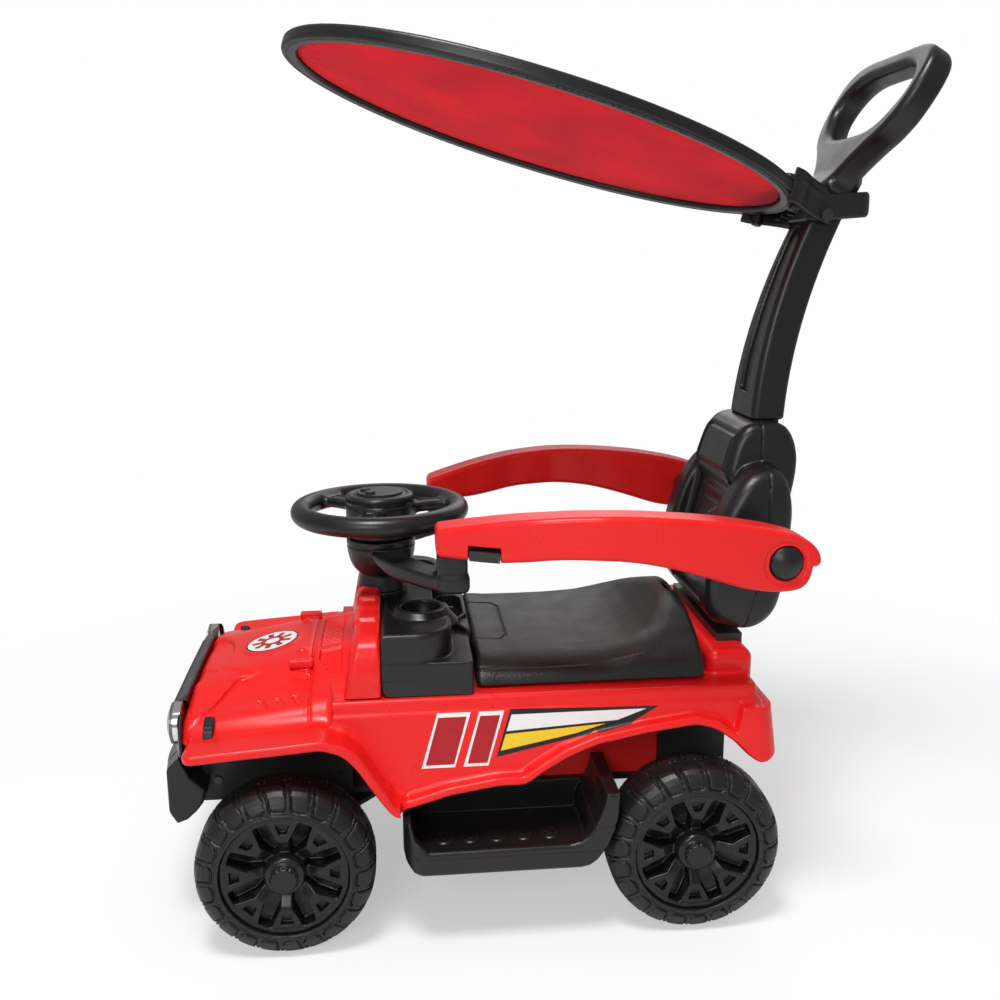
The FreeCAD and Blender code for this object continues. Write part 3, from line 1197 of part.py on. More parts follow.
def latch_pocket(gap, travel):
    """Space of the latch key in the lower outer edge of the left armrest."""
    front = ARM_FRONT - LATCH_KEY_BACK + gap
    rear = ARM_FRONT - LATCH_KEY_BACK - LATCH_KEY_L - gap
    outer = arm_edge(rear) + OVERRUN
    inner = arm_edge(front) - LATCH_KEY_W - gap
    return box(rear, front, inner, outer, ARM_Z - OVERRUN, ARM_Z + LATCH_KEY_H + travel + gap)


def latch_key():
    """Black press key that frees the front end of the left armrest."""
    front = ARM_FRONT - LATCH_KEY_BACK
    rear = front - LATCH_KEY_L
    inner = arm_edge(front) - LATCH_KEY_W
    key = box(rear, front, inner, ARM_OUT, ARM_Z + RUN_GAP, ARM_Z + LATCH_KEY_H)
    return key.common(arm_strip())


def armrest_pivot_pins():
    """Steel pins that carry both armrests, from the backrest to the knobs."""
    left = rod_y(PIVOT_X, PIVOT_Z, PIVOT_R, BACK_HALF / 2, pivot_face() - KNOB_SINK)
    return Part.makeCompound([left, mirrored(left)])


def armrest_knob():
    """Domed black cap on the left pivot pin."""
    face = pivot_face()
    section = [Vec(0, face - KNOB_SINK, 0), Vec(KNOB_R, face - KNOB_SINK, 0),
               Vec(KNOB_R, face + KNOB_STAND / 2, 0),
               Vec(KNOB_R * KNOB_DOME_share, face + KNOB_STAND, 0), Vec(0, face + KNOB_STAND, 0)]
    return Part.Face(outline(section)).revolve(Vec(0, 0, 0), Vec(0, 1, 0),
                                               360).translated(Vec(PIVOT_X, 0, PIVOT_Z))


def pole_section(z, grow):
    """Rectangle of the leaning, tapering pole at a level."""
    share = (z - HEAD_TOP) / POLE_H
    bend = share * share
    middle = POLE_X - POLE_LEAN * (share * POLE_STRAIGHT_share + bend * (1 - POLE_STRAIGHT_share))
    half_t = (POLE_LOW_T + (POLE_TOP_T - POLE_LOW_T) * share) / 2 + grow
    half_w = POLE_LOW_HALF + (POLE_TOP_HALF - POLE_LOW_HALF) * share + grow
    return outline([Vec(middle - half_t, -half_w, z), Vec(middle + half_t, -half_w, z),
                    Vec(middle + half_t, half_w, z),
                    Vec(middle - half_t, half_w, z)], half_t * POLE_ROUND_share)


def pole_form(grow):
    """The pole between the backrest and the loop, grown by a clearance where a clamp goes round it."""
    levels = [HEAD_TOP + POLE_H * i / POLE_STEPS for i in range(POLE_STEPS + 1)]
    return Part.makeLoft([pole_section(z, grow) for z in levels], True, True)


def loop_form():
    """Closed grip loop in its own plane: X across, Y along the loop from its neck."""
    outer = [(across * LOOP_HALF, along * LOOP_L) for across, along in LOOP_outer_shares]
    inner_half = LOOP_HALF - LOOP_BAR_W
    inner_l = LOOP_L - LOOP_BAR_W - LOOP_ROOT_L
    inner = [(across * inner_half, LOOP_ROOT_L + along * inner_l) for across, along in LOOP_inner_shares]
    plates = []
    for points in (outer, inner):
        loop = [Vec(x, y, -LOOP_T / 2) for x, y in points] + [Vec(-x, y, -LOOP_T / 2) for x,
                                                              y in reversed(points)]
        plates.append(Part.Face(outline(loop, LOOP_BAR_W)).extrude(Vec(0, 0, LOOP_T)))
    return plates[0].cut(plates[1])


def push_handle():
    """Black parent handle: tongue in the backrest, curved pole and grip loop."""
    tongue = box(POLE_X - POLE_LOW_T / 2, POLE_X + POLE_LOW_T / 2, -POLE_FOOT_HALF, POLE_FOOT_HALF,
                 HEAD_TOP - POLE_FOOT_DEPTH, HEAD_TOP + OVERRUN)
    loop = loop_form()
    loop.rotate(Vec(0, 0, 0), Vec(1, 0, 0), 90)
    loop.rotate(Vec(0, 0, 0), Vec(0, 0, 1), 90)
    loop.rotate(Vec(0, 0, 0), Vec(0, 1, 0), -LOOP_TILT)
    loop.translate(Vec(POLE_X - POLE_LEAN + LOOP_AHEAD, 0, POLE_TOP_Z - LOOP_DROP))
    return fused([pole_form(0), tongue, loop])


def canopy_oval(a, b, low, thickness):
    """Flat oval plate in the canopy's own plane."""
    ellipse = Part.Ellipse(Vec(0, 0, low), a, b).toShape()
    return Part.Face(Part.Wire([ellipse])).extrude(Vec(0, 0, thickness))


def to_canopy(shape):
    """A piece moved from the canopy's own plane to its place above the seat."""
    shape.rotate(Vec(0, 0, 0), Vec(1, 0, 0), CANOPY_ROLL)
    shape.rotate(Vec(0, 0, 0), Vec(0, 1, 0), -CANOPY_SLOPE)
    shape.translate(canopy_centre())
    return shape


def canopy_centre():
    """Middle of the canopy, a bracket's reach in front of the pole."""
    front = pole_front(CLAMP_Z + CLAMP_H / 2) + CLAMP_WALL
    reach = CANOPY_A + YOKE_REACH
    level = CLAMP_Z + CLAMP_H / 2 + CANOPY_RISE
    return Vec(front + reach * math.cos(CANOPY_TILT), 0, level + reach * math.sin(CANOPY_TILT))


def pole_front(z):
    """X of the pole's front face at a level."""
    return pole_section(z, 0).BoundBox.XMax


def canopy_frame():
    """Oval rim with a ledge that holds the fabric."""
    rim = canopy_oval(CANOPY_A, CANOPY_B, 0, CANOPY_RIM_T)
    hole = canopy_oval(CANOPY_A - CANOPY_RIM_W, CANOPY_B - CANOPY_RIM_W, -OVERRUN,
                       CANOPY_RIM_T + 2 * OVERRUN)
    return to_canopy(rim.cut(hole))


def canopy_fabric():
    """Stretched fabric inside the rim, as a thin closed sheet."""
    inset = CANOPY_RIM_W + SEAT_GAP
    return to_canopy(canopy_oval(CANOPY_A - inset, CANOPY_B - inset, CANOPY_FABRIC_T, CANOPY_FABRIC_T))


def canopy_bracket():
    """Forked bracket under the rear of the rim, screwed to the clamp."""
    root = -CANOPY_A + CANOPY_RIM_W
    tip = -CANOPY_A - YOKE_REACH - CLAMP_WALL / 2
    plan = both_sides([(root + CANOPY_RIM_W, YOKE_HALF), (root, YOKE_HALF), (tip, POLE_TOP_HALF)])
    yoke = plan_prism(plan, -YOKE_T - SEAT_GAP, -SEAT_GAP)
    opening = canopy_oval(CANOPY_A - CANOPY_RIM_W, CANOPY_B - CANOPY_RIM_W, -YOKE_T - OVERRUN,
                          YOKE_T + OVERRUN)
    return to_canopy(yoke.cut(opening))


def canopy_clamp():
    """C-clamp round the pole that carries the canopy bracket."""
    middle = CLAMP_Z + CLAMP_H / 2
    front = pole_front(CLAMP_Z) + CLAMP_WALL
    rear = pole_section(CLAMP_TOP, 0).BoundBox.XMin - CLAMP_REAR_WALL
    half = pole_section(middle, 0).BoundBox.YMax + CLAMP_WALL
    plan = both_sides([(front, half), (rear, half)])
    block = plan_prism(plan, CLAMP_Z, CLAMP_TOP, CLAMP_REAR_WALL)
    return block.cut(pole_form(SEAT_GAP)).cut(canopy_bracket())


def clamp_bolt():
    """Knob of the clamp screw on its left cheek."""
    half = pole_section(CLAMP_Z + CLAMP_H / 2, 0).BoundBox.YMax + CLAMP_WALL
    x = (pole_section(CLAMP_Z, 0).BoundBox.XMin + pole_section(CLAMP_Z, 0).BoundBox.XMax) / 2
    return rod_y(x, CLAMP_Z + CLAMP_H / 2, CLAMP_BOLT_R, half, half + CLAMP_BOLT_STAND)


def foot_tray():
    """Left foot tray with a low outer wall and a high rear wall, hung on the floor plate."""
    inner_y = PLATE_HALF + SEAT_GAP
    rear_top = TRAY_Z + TRAY_REAR_H
    front_top = TRAY_Z + TRAY_FRONT_H
    rim_top = TRAY_Z + TRAY_RIM_H
    rear_in = TRAY_REAR + TRAY_RIM_W + TRAY_RIM_W
    front_in = TRAY_FRONT - TRAY_RIM_W
    profile = [(TRAY_FRONT, front_top), (TRAY_FRONT, TRAY_Z), (TRAY_REAR + TRAY_ROUND, TRAY_Z),
               (TRAY_REAR + TRAY_RIM_W, TRAY_Z + TRAY_ROUND),
               (TRAY_REAR, TRAY_Z + TRAY_FRONT_H), (TRAY_REAR, rear_top),
               (TRAY_REAR + TRAY_RIM_W, rear_top),
               (rear_in, TRAY_Z + TRAY_FRONT_H), (rear_in + TRAY_ROUND, rim_top),
               (front_in - TRAY_ROUND / 2, rim_top),
               (front_in, front_top)]
    tray = side_prism(profile, inner_y, TRAY_OUT, TRAY_ROUND)
    basin = side_prism([(rear_in + TRAY_RIM_W, rim_top + OVERRUN),
                        (rear_in + TRAY_ROUND, TRAY_Z + TRAY_FLOOR),
                        (front_in - TRAY_RIM_W, TRAY_Z + TRAY_FLOOR),
                        (front_in - TRAY_RIM_W / 2, rim_top + OVERRUN)],
                       inner_y + TRAY_RIM_W, TRAY_OUT - TRAY_RIM_W)
    tray = tray.cut(basin)
    wall = box(rear_in, front_in, inner_y, inner_y + BOX_WALL, TRAY_Z, PLATE_TOP)
    return fused([tray, wall])


def body_screws():
    """Visible screws: two in the column sleeve and four in the underframe's box."""
    z = CONSOLE_Z + COLUMN_NECK_H / 2
    screws = []
    for side in (-1, 1):
        ends = sorted((side * COLUMN_BASE_R, side * (COLUMN_BASE_R + SCREW_HEAD_T)))
        screws.append(rod_y(COLUMN_X, z, SCREW_HEAD_R, *ends))
        ends = sorted((side * PLATE_HALF, side * (PLATE_HALF + SCREW_HEAD_T)))
        for x in (WHEELBASE - BOX_REAR_SETBACK + 2 * SCREW_HEAD_R, HOOD_FRONT - WALL - 4 * SCREW_HEAD_R):
            screws.append(rod_y(x, PLATE_TOP + 4 * SCREW_HEAD_R, SCREW_HEAD_R, *ends))
    return Part.makeCompound(screws)


def all_nodes():
    """Every node of the car by name."""
    nodes = {
        "body_shell": body_shell(), "cowl_panel": cowl_panel(), "storage_bin": storage_bin(),
        "chassis": chassis(),
        "rear_axle_carrier": rear_axle_carrier(), "rear_axle": rear_axle(),
        "rear_axle_nuts": rear_axle_nuts(),
        "kingpins": kingpins(), "front_bumper": front_bumper(), "grille_panel": grille_panel(),
        "hood_latches": hood_latches(), "dash_console": dash_console(), "gear_pod": gear_pod(),
        "column_sleeve": column_sleeve(), "guard_bracket": guard_bracket(), "body_screws": body_screws(),
        "seat_lid": seat_lid(), "seat_hinge_pin": seat_hinge_pin(), "backrest_foot": backrest_foot(),
        "armrest_pivot_pins": armrest_pivot_pins(), "push_handle": push_handle(),
        "canopy_frame": canopy_frame(),
        "canopy_fabric": canopy_fabric(), "canopy_bracket": canopy_bracket(),
        "canopy_clamp": canopy_clamp(),
        "clamp_bolt": clamp_bolt(), "steering_wheel": steering_wheel(), "steering_shaft": steering_shaft(),
        "hub_pad": hub_pad(), "sound_module": sound_module(), "music_button_front": music_button(-1),
        "music_button_rear": music_button(1), "tie_rod": tie_rod(),
    }
    backrest = backrest_form()
    nodes["backrest_front"] = backrest.common(seam_cutter())
    nodes["backrest_rear"] = backrest.cut(seam_cutter())
    tyre = wheel()
    trim = wheel_cover()
    pairs = {"armrest": armrest(), "armrest_latch": latch_key(), "armrest_knob": armrest_knob(),
             "foot_tray": foot_tray(),
             "knuckle": knuckle(), "stub_axle": stub_axle()}
    for side, word in ((1, "left"), (-1, "right")):
        for name, shape in pairs.items():
            nodes[name + "_" + word] = shape if side > 0 else mirrored(shape)
        nodes["headlight_bowl_" + word] = headlight_bowl(side)
        nodes["headlight_lens_" + word] = headlight_lens(side)
        for end, x in (("front", WHEELBASE), ("rear", 0)):
            nodes["wheel_" + end + "_" + word] = at_wheel(tyre, x, side)
            nodes["wheel_cover_" + end + "_" + word] = at_wheel(trim, x, side)
    return nodes


def main():
    """Writes each node in the frame whose origin is the bottom centre of the whole car."""
    os.makedirs("parts", exist_ok=True)
    nodes = all_nodes()
    boxes = [shape.optimalBoundingBox(False, False) for shape in nodes.values()]
    middle_x = (min(b.XMin for b in boxes) + max(b.XMax for b in boxes)) / 2
    middle_y = (min(b.YMin for b in boxes) + max(b.YMax for b in boxes)) / 2
    floor = min(b.ZMin for b in boxes)
    shift = Vec(-middle_x, -middle_y, -floor)
    print("moved by", shift, "nodes", len(nodes))
    for name, shape in nodes.items():
        shape.translated(shift).exportStep("parts/" + name + ".step")


main()
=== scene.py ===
import json
import math
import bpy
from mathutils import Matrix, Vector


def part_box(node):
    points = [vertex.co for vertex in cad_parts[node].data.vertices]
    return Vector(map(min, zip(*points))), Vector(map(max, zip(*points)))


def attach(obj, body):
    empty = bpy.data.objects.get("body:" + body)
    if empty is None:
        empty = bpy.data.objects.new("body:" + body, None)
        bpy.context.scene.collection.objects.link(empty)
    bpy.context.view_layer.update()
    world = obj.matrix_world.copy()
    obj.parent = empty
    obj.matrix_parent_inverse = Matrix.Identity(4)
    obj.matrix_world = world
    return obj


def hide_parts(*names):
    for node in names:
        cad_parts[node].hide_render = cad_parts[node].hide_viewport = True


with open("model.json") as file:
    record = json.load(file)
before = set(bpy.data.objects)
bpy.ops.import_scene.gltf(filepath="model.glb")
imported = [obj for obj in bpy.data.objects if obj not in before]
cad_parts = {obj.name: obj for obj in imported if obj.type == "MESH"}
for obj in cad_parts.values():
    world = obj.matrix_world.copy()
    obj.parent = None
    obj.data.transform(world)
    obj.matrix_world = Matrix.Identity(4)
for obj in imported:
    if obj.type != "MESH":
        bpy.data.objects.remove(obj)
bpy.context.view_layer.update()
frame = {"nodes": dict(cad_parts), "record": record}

from concurrent.futures import ThreadPoolExecutor

import bmesh
import bpy
import numpy as np
from mathutils import Matrix, Vector

# The looks of a toddler's push car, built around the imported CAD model.
# Forms are written as distance fields, negative inside, and meshed into the frame's metres.
# Their coordinates are millimetres, with X forward from the rear axle, Y to the car's left and
# Z up from the floor. A form that is alike on both sides is written in ay, the size of y.

SCENE = bpy.context.scene
MM = 0.001
WHEEL_LOW, WHEEL_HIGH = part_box("wheel_rear_left")
AXLE_X = (WHEEL_LOW.x + WHEEL_HIGH.x) / 2
SIDES = {"left": 1, "right": -1}


def in_frame(points):
    """Points in the frame's metres."""
    return points * MM + (AXLE_X, 0, 0)


def from_frame(point):
    """A point of the frame in millimetres from the rear axle."""
    return np.array(point) / MM - (AXLE_X / MM, 0, 0)


# Distance fields

def rmax(a, b, r):
    """What both forms share, with the outer edge between them rounded."""
    return np.minimum(-r, np.maximum(a, b)) + np.hypot(np.maximum(a + r, 0), np.maximum(b + r, 0))


def rmin(a, b, r):
    """Either form, with the inner corner between them filled."""
    return np.maximum(r, np.minimum(a, b)) - np.hypot(np.maximum(r - a, 0), np.maximum(r - b, 0))


def less(a, b, r):
    """The first form with the second taken out."""
    return rmax(a, -b, r)


def slab(v, low, high):
    """The room between two parallel planes."""
    return np.abs(v - (low + high) / 2) - (high - low) / 2


def block(p, low, high, r):
    """Box between two corners with rounded edges."""
    q = [slab(c, a, b) + r for c, a, b in zip(p, low, high)]
    out = np.sqrt(sum(np.maximum(c, 0) ** 2 for c in q))
    return out + np.minimum(np.maximum(np.maximum(q[0], q[1]), q[2]), 0) - r


def ball(p, at, r):
    return np.sqrt(sum((c - a) ** 2 for c, a in zip(p, at))) - r


def poly(u, v, points):
    """Signed distance to a closed outline in a plane."""
    best = np.full(u.shape, 1e9)
    inside = np.zeros(u.shape, bool)
    for (ax, ay), (bx, by) in zip(points, points[1:] + points[:1]):
        ex, ey = bx - ax, by - ay
        wx, wy = u - ax, v - ay
        t = np.clip((wx * ex + wy * ey) / (ex * ex + ey * ey), 0, 1)
        best = np.minimum(best, (wx - ex * t) ** 2 + (wy - ey * t) ** 2)
        if ey:
            inside ^= ((ay > v) != (by > v)) & (u < ex * wy / ey + ax)
    return np.where(inside, -1, 1) * np.sqrt(best)


def smooth(points, steps=5):
    """Outline that runs smoothly through its points."""
    p = np.array(points, float)
    before, after, beyond = np.roll(p, 1, 0), np.roll(p, -1, 0), np.roll(p, -2, 0)
    rows = []
    for s in np.arange(steps) / steps:
        square = (2 * before - 5 * p + 4 * after - beyond) * s * s
        cube = (3 * p - before - 3 * after + beyond) * s ** 3
        rows.append(p + ((after - before) * s + (square + cube)) / 2)
    return [tuple(q) for made in zip(*rows) for q in made]


def mirror(points):
    """Outline given on one side of the vertical, closed by its reflection."""
    return list(points) + [(-u, v) for u, v in reversed(points)]


def ramp(t):
    """Soft step from 0 to 1."""
    t = np.clip(t, 0, 1)
    return t * t * (3 - 2 * t)


def bump(t):
    """Soft hill of height 1 and half width 1."""
    return np.exp(-t * t)


class Line:
    """Smooth line v(u) through points, with the distance above it."""

    PAST = 60

    def __init__(self, points, soft):
        us, vs = zip(*sorted(points))
        self.u = np.arange(us[0] - self.PAST, us[-1] + self.PAST, 1.0)
        reach = int(3 * soft)
        kernel = np.exp(-0.5 * (np.arange(-reach, reach + 1) / soft) ** 2)
        padded = np.pad(np.interp(self.u, us, vs), reach, "edge")
        self.v = np.convolve(padded, kernel / kernel.sum(), "valid")
        self.scale = 1 / np.sqrt(1 + np.gradient(self.v) ** 2)

    def at(self, u):
        return np.interp(u, self.u, self.v)

    def above(self, u, v):
        return (v - self.at(u)) * np.interp(u, self.u, self.scale)


# Meshing

COARSE = 1.0
WORKERS, CHUNK = 4, 60000
GROUP, MARGIN = 8, 2.37                  # cells along a coarse cell, and around a form's box
HALF_DIAGONAL, SLACK = 0.87, 1.45        # how near the surface a coarse cell is worked out finely
SETTLE_STEPS, SETTLE_MOST = 3, 0.5
SLOPE_STEP, NORMAL_STEP, SLOPE_LEAST = 0.15, 0.2, 0.05
CORNERS = [(i, j, k) for i in (0, 1) for j in (0, 1) for k in (0, 1)]
FLIP = (1, -1, 1)


def spread(field, points):
    """The field at many points, worked out in parallel."""
    parts = np.array_split(points, max(1, len(points) // CHUNK))
    with ThreadPoolExecutor(WORKERS) as pool:
        return np.concatenate(list(pool.map(lambda q: np.asarray(field(*q.T)), parts)))


def gradient(field, points, e):
    ways = np.array([(1, -1, -1), (-1, -1, 1), (-1, 1, -1), (1, 1, 1)], float)
    return sum(way * spread(field, points + e * way)[:, None] for way in ways) / (4 * e)


def corner_of(grid, corner):
    """The same corner of every cell of a grid, as a view."""
    return grid[tuple(slice(c, n - 1 + c) for c, n in zip(corner, grid.shape))]


def sample(field, low, high, h):
    """The field on a grid, worked out finely near the surface, and the cells that lie there."""
    count = np.ceil((high - low) / (h * GROUP)).astype(int)
    mids = np.stack(np.meshgrid(*[np.arange(n) for n in count], indexing="ij"), -1).reshape(-1, 3)
    coarse = spread(field, low + (mids + 0.5) * GROUP * h).reshape(count)
    near = np.abs(coarse) < HALF_DIAGONAL * GROUP * h * SLACK
    cell = np.ones((GROUP,) * 3, bool)
    fine = np.kron(near, cell).astype(bool)
    mask = np.zeros(np.array(fine.shape) + 1, bool)
    for corner in CORNERS:
        corner_of(mask, corner)[...] |= fine
    value = np.ones(mask.shape)
    value[:-1, :-1, :-1] = np.where(np.kron(coarse < 0, cell), -1, 1)
    value[mask] = spread(field, low + np.argwhere(mask) * h)
    return value, fine


def crossings(value, at):
    """Mean place, within each cell, where the surface crosses the cell's edges."""
    place, hits = np.zeros((len(at), 3)), np.zeros(len(at))
    for a in CORNERS:
        for axis in range(3):
            if a[axis]:
                continue
            b = tuple(c + (n == axis) for n, c in enumerate(a))
            va, vb = value[tuple((at + a).T)], value[tuple((at + b).T)]
            cross = (va < 0) != (vb < 0)
            t = np.where(cross, va / np.where(cross, va - vb, 1), 0)
            spot = np.array(a) + t[:, None] * (np.array(b) - np.array(a))
            place += np.where(cross[:, None], spot, 0)
            hits += cross
    return place / hits[:, None]


def quads(inside, index):
    """A quad across each grid edge that the surface crosses, facing outwards."""
    faces = []
    for axis in range(3):
        one, two = (axis + 1) % 3, (axis + 2) % 3
        first = inside.take(range(0, inside.shape[axis] - 1), axis)
        second = inside.take(range(1, inside.shape[axis]), axis)
        edge = np.argwhere(first != second)
        edge = edge[(edge[:, one] > 0) & (edge[:, two] > 0)]
        edge = edge[(edge[:, one] < index.shape[one]) & (edge[:, two] < index.shape[two])]
        flip = ~first[tuple(edge.T)]
        ring = []
        for da, db in ((-1, -1), (0, -1), (0, 0), (-1, 0)):
            step = np.zeros(3, int)
            step[one], step[two] = da, db
            ring.append(index[tuple((edge + step).T)])
        quad = np.stack(ring, 1)
        quad[flip] = quad[flip][:, ::-1]
        faces.append(quad[(quad >= 0).all(1)])
    return np.concatenate(faces)


def settle(field, points, h):
    """Points moved on to the surface by Newton's method, and the normals there."""
    for _ in range(SETTLE_STEPS):
        slope = gradient(field, points, SLOPE_STEP * h)
        size = np.maximum((slope ** 2).sum(1), SLOPE_LEAST)
        move = (spread(field, points) / size)[:, None] * slope
        far = np.maximum(np.sqrt((move ** 2).sum(1)) / (SETTLE_MOST * h), 1)
        points = points - move / far[:, None]
    slope = gradient(field, points, NORMAL_STEP * h)
    slope /= np.maximum(np.sqrt((slope ** 2).sum(1)), 1e-9)[:, None]
    return points, slope


def skin(field, low, high, h):
    """Vertices, quads and normals of the surface where the field is 0, on a grid of step h."""
    h = h * COARSE
    low, high = np.array(low, float) - MARGIN * h, np.array(high, float) + MARGIN * h
    value, fine = sample(field, low, high, h)
    inside = value < 0
    total = np.zeros(fine.shape, np.int8)
    for corner in CORNERS:
        total += corner_of(inside, corner)
    cells = (total > 0) & (total < len(CORNERS)) & fine
    at = np.argwhere(cells)
    index = np.full(cells.shape, -1)
    index[cells] = np.arange(len(at))
    points, normals = settle(field, low + (at + crossings(value, at)) * h, h)
    return points, quads(inside, index), normals


def add_object(name, data, finish=None):
    """New object in the scene."""
    if finish:
        data.materials.append(finish)
    made = bpy.data.objects.new(name, data)
    SCENE.collection.objects.link(made)
    return made


def solid(name, made, finish, mirrored=False, at=(0, 0, 0)):
    """Object from a skin, mirrored to the car's right side where asked."""
    points, faces, normals = made
    if mirrored:
        points, normals, faces = points * FLIP, normals * FLIP, faces[:, ::-1]
    mesh = bpy.data.meshes.new(name)
    mesh.vertices.add(len(points))
    mesh.vertices.foreach_set("co", in_frame(points + at).astype(np.float32).ravel())
    mesh.loops.add(faces.size)
    mesh.loops.foreach_set("vertex_index", np.ascontiguousarray(faces).astype(np.int32).ravel())
    mesh.polygons.add(len(faces))
    mesh.polygons.foreach_set("loop_start", np.arange(0, faces.size, 4, dtype=np.int32))
    mesh.update(calc_edges=True)
    mesh.validate()
    mesh.shade_smooth()
    mesh.normals_split_custom_set_from_vertices(normals.astype(np.float32))
    return add_object(name, mesh, finish)


def from_bmesh(name, mesh, finish):
    """Object from a closed bmesh, with its faces turned outwards."""
    bmesh.ops.recalc_face_normals(mesh, faces=mesh.faces)
    data = bpy.data.meshes.new(name)
    mesh.to_mesh(data)
    mesh.free()
    return add_object(name, data, finish)


def dress(piece, body, slot, *nodes):
    """The piece rides on a body and stands for CAD nodes, which it hides; the slot is not used."""
    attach(piece, body)
    if nodes:
        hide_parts(*nodes)


# Materials

MIX_A, MIX_B, MIX_OUT = 6, 7, 2          # the colour sockets of a Mix node
WORN_FROM, WORN_TO, WORN_PALE = 0.515, 0.6, 0.12


def plug(node, sockets):
    """Sets a node's inputs to values, or links them to other nodes' outputs."""
    for key, value in sockets.items():
        if isinstance(value, bpy.types.NodeSocket):
            node.id_data.links.new(value, node.inputs[key])
        else:
            node.inputs[key].default_value = value


def wired(tree, kind, sockets=None, **settings):
    """New shader node with its settings and inputs."""
    node = tree.nodes.new("ShaderNode" + kind)
    for key, value in settings.items():
        setattr(node, key, value)
    plug(node, sockets or {})
    return node


def colour_of(rgb, times=1.0):
    return (*[min(1.0, c * times) for c in rgb], 1.0)


class Finish:
    """Node tree of one procedural material."""

    def __init__(self, name, rough, metallic=0.0):
        self.material = bpy.data.materials.new(name)
        self.material.use_nodes = True
        self.tree = self.material.node_tree
        self.shader = self.tree.nodes["Principled BSDF"]
        self.place = self.node("TexCoord").outputs["Object"]
        plug(self.shader, {"Roughness": rough, "Metallic": metallic})

    def node(self, kind, sockets=None, **settings):
        return wired(self.tree, kind, sockets, **settings)

    def noise(self, scale, detail=3.0, stretch=None):
        place = self.place
        if stretch:
            place = self.node("Mapping", {"Vector": place, "Scale": stretch}).outputs["Vector"]
        sockets = {"Vector": place, "Scale": scale, "Detail": detail}
        return self.node("TexNoise", sockets).outputs["Fac"]

    def cells(self, scale):
        return self.node("TexVoronoi", {"Vector": self.place, "Scale": scale}).outputs["Distance"]

    def between(self, fac, low, high, from_low=0.3, from_high=0.7):
        sockets = {"Value": fac, "From Min": from_low, "From Max": from_high,
                   "To Min": low, "To Max": high}
        return self.node("MapRange", sockets).outputs["Result"]

    def blend(self, fac, a, b):
        sockets = {"Factor": fac, MIX_A: a, MIX_B: b}
        return self.node("Mix", sockets, data_type="RGBA").outputs[MIX_OUT]

    def raised(self, height, depth, strength=1.0, under=None):
        node = self.node("Bump", {"Height": height, "Distance": depth, "Strength": strength})
        if under:
            plug(node, {"Normal": under})
        return node.outputs["Normal"]

    def done(self, base, rough, normal, **others):
        """The material, with its main inputs linked and others set by name."""
        plug(self.shader, {"Base Color": base, "Roughness": rough, "Normal": normal})
        plug(self.shader, {key.replace("_", " "): value for key, value in others.items()})
        return self.material


def plastic(name, rgb, rough, grain=900.0, depth=0.00008, shade=0.06, edge=0.12, leather=0.0,
            shine=0.35):
    """Moulded plastic: soft colour drift, uneven gloss, fine grain and paler worn edges."""
    f = Finish(name, sum(rough) / 2)
    drift = f.between(f.noise(7.0), 0.0, 1.0)
    base = f.blend(drift, colour_of(rgb, 1 - shade), colour_of(rgb, 1 + shade))
    edges = f.node("NewGeometry").outputs["Pointiness"]
    worn = f.between(edges, 0.0, edge, WORN_FROM, WORN_TO)
    pale = colour_of([c + WORN_PALE * (1 - c) for c in rgb])
    normal = f.raised(f.noise(grain, 2.0), depth)
    if leather:
        normal = f.raised(f.cells(leather), depth * 3, 0.6, normal)
    gloss = f.between(f.noise(38.0, 5.0), *rough)
    return f.done(f.blend(worn, base, pale), gloss, normal, Specular_IOR_Level=shine)


def ink(name, rgb, shade):
    """Smooth print of a label."""
    return plastic(name, rgb, (0.25, 0.38), 900.0, 0.00003, shade, 0.0)


def metal(name, rgb, rough):
    """Plated metal with fine scratches along one way."""
    f = Finish(name, sum(rough) / 2, 1.0)
    fine = f.noise(220.0, 4.0, (1.0, 9.0, 1.0))
    base = f.blend(fine, colour_of(rgb, 0.88), colour_of(rgb, 1.05))
    return f.done(base, f.between(fine, *rough), f.raised(fine, 0.00002))


def clear(name, rgb):
    """Clear moulded plastic with slight flow lines."""
    f = Finish(name, 0.04)
    flow = f.noise(60.0, 2.0, (1.0, 0.4, 2.0))
    base = f.blend(flow, colour_of(rgb, 0.94), colour_of(rgb))
    return f.done(base, f.between(flow, 0.02, 0.09), f.raised(flow, 0.0002),
                  Transmission_Weight=0.9, IOR=1.49)


def cloth(name, rgb, thread):
    """Plain woven fabric: crossed threads, colour drift, a soft sheen and light through it."""
    f = Finish(name, 0.82)
    wave = {"Vector": f.place, "Scale": thread, "Distortion": 0.6, "Detail": 1.0}
    warp, weft = [f.node("TexWave", wave, bands_direction=axis).outputs["Fac"] for axis in "XY"]
    weave = f.node("Math", {0: warp, 1: weft}, operation="MULTIPLY").outputs["Value"]
    drift = f.between(f.noise(16.0, 5.0), 0.0, 1.0)
    base = f.blend(drift, colour_of(rgb, 0.88), colour_of(rgb, 1.1))
    threads = f.blend(f.between(weave, 0.0, 0.35, 0.0, 1.0), base, colour_of(rgb, 1.35))
    through = f.node("BsdfTranslucent", {"Color": base}).outputs["BSDF"]
    both = f.node("MixShader", {"Fac": 0.5, 1: f.shader.outputs["BSDF"], 2: through})
    plug(f.tree.nodes["Material Output"], {"Surface": both.outputs["Shader"]})
    return f.done(threads, f.between(f.noise(300.0), 0.72, 0.9), f.raised(weave, 0.00025, 0.7),
                  Sheen_Weight=0.15, Sheen_Roughness=0.5, Specular_IOR_Level=0.2)


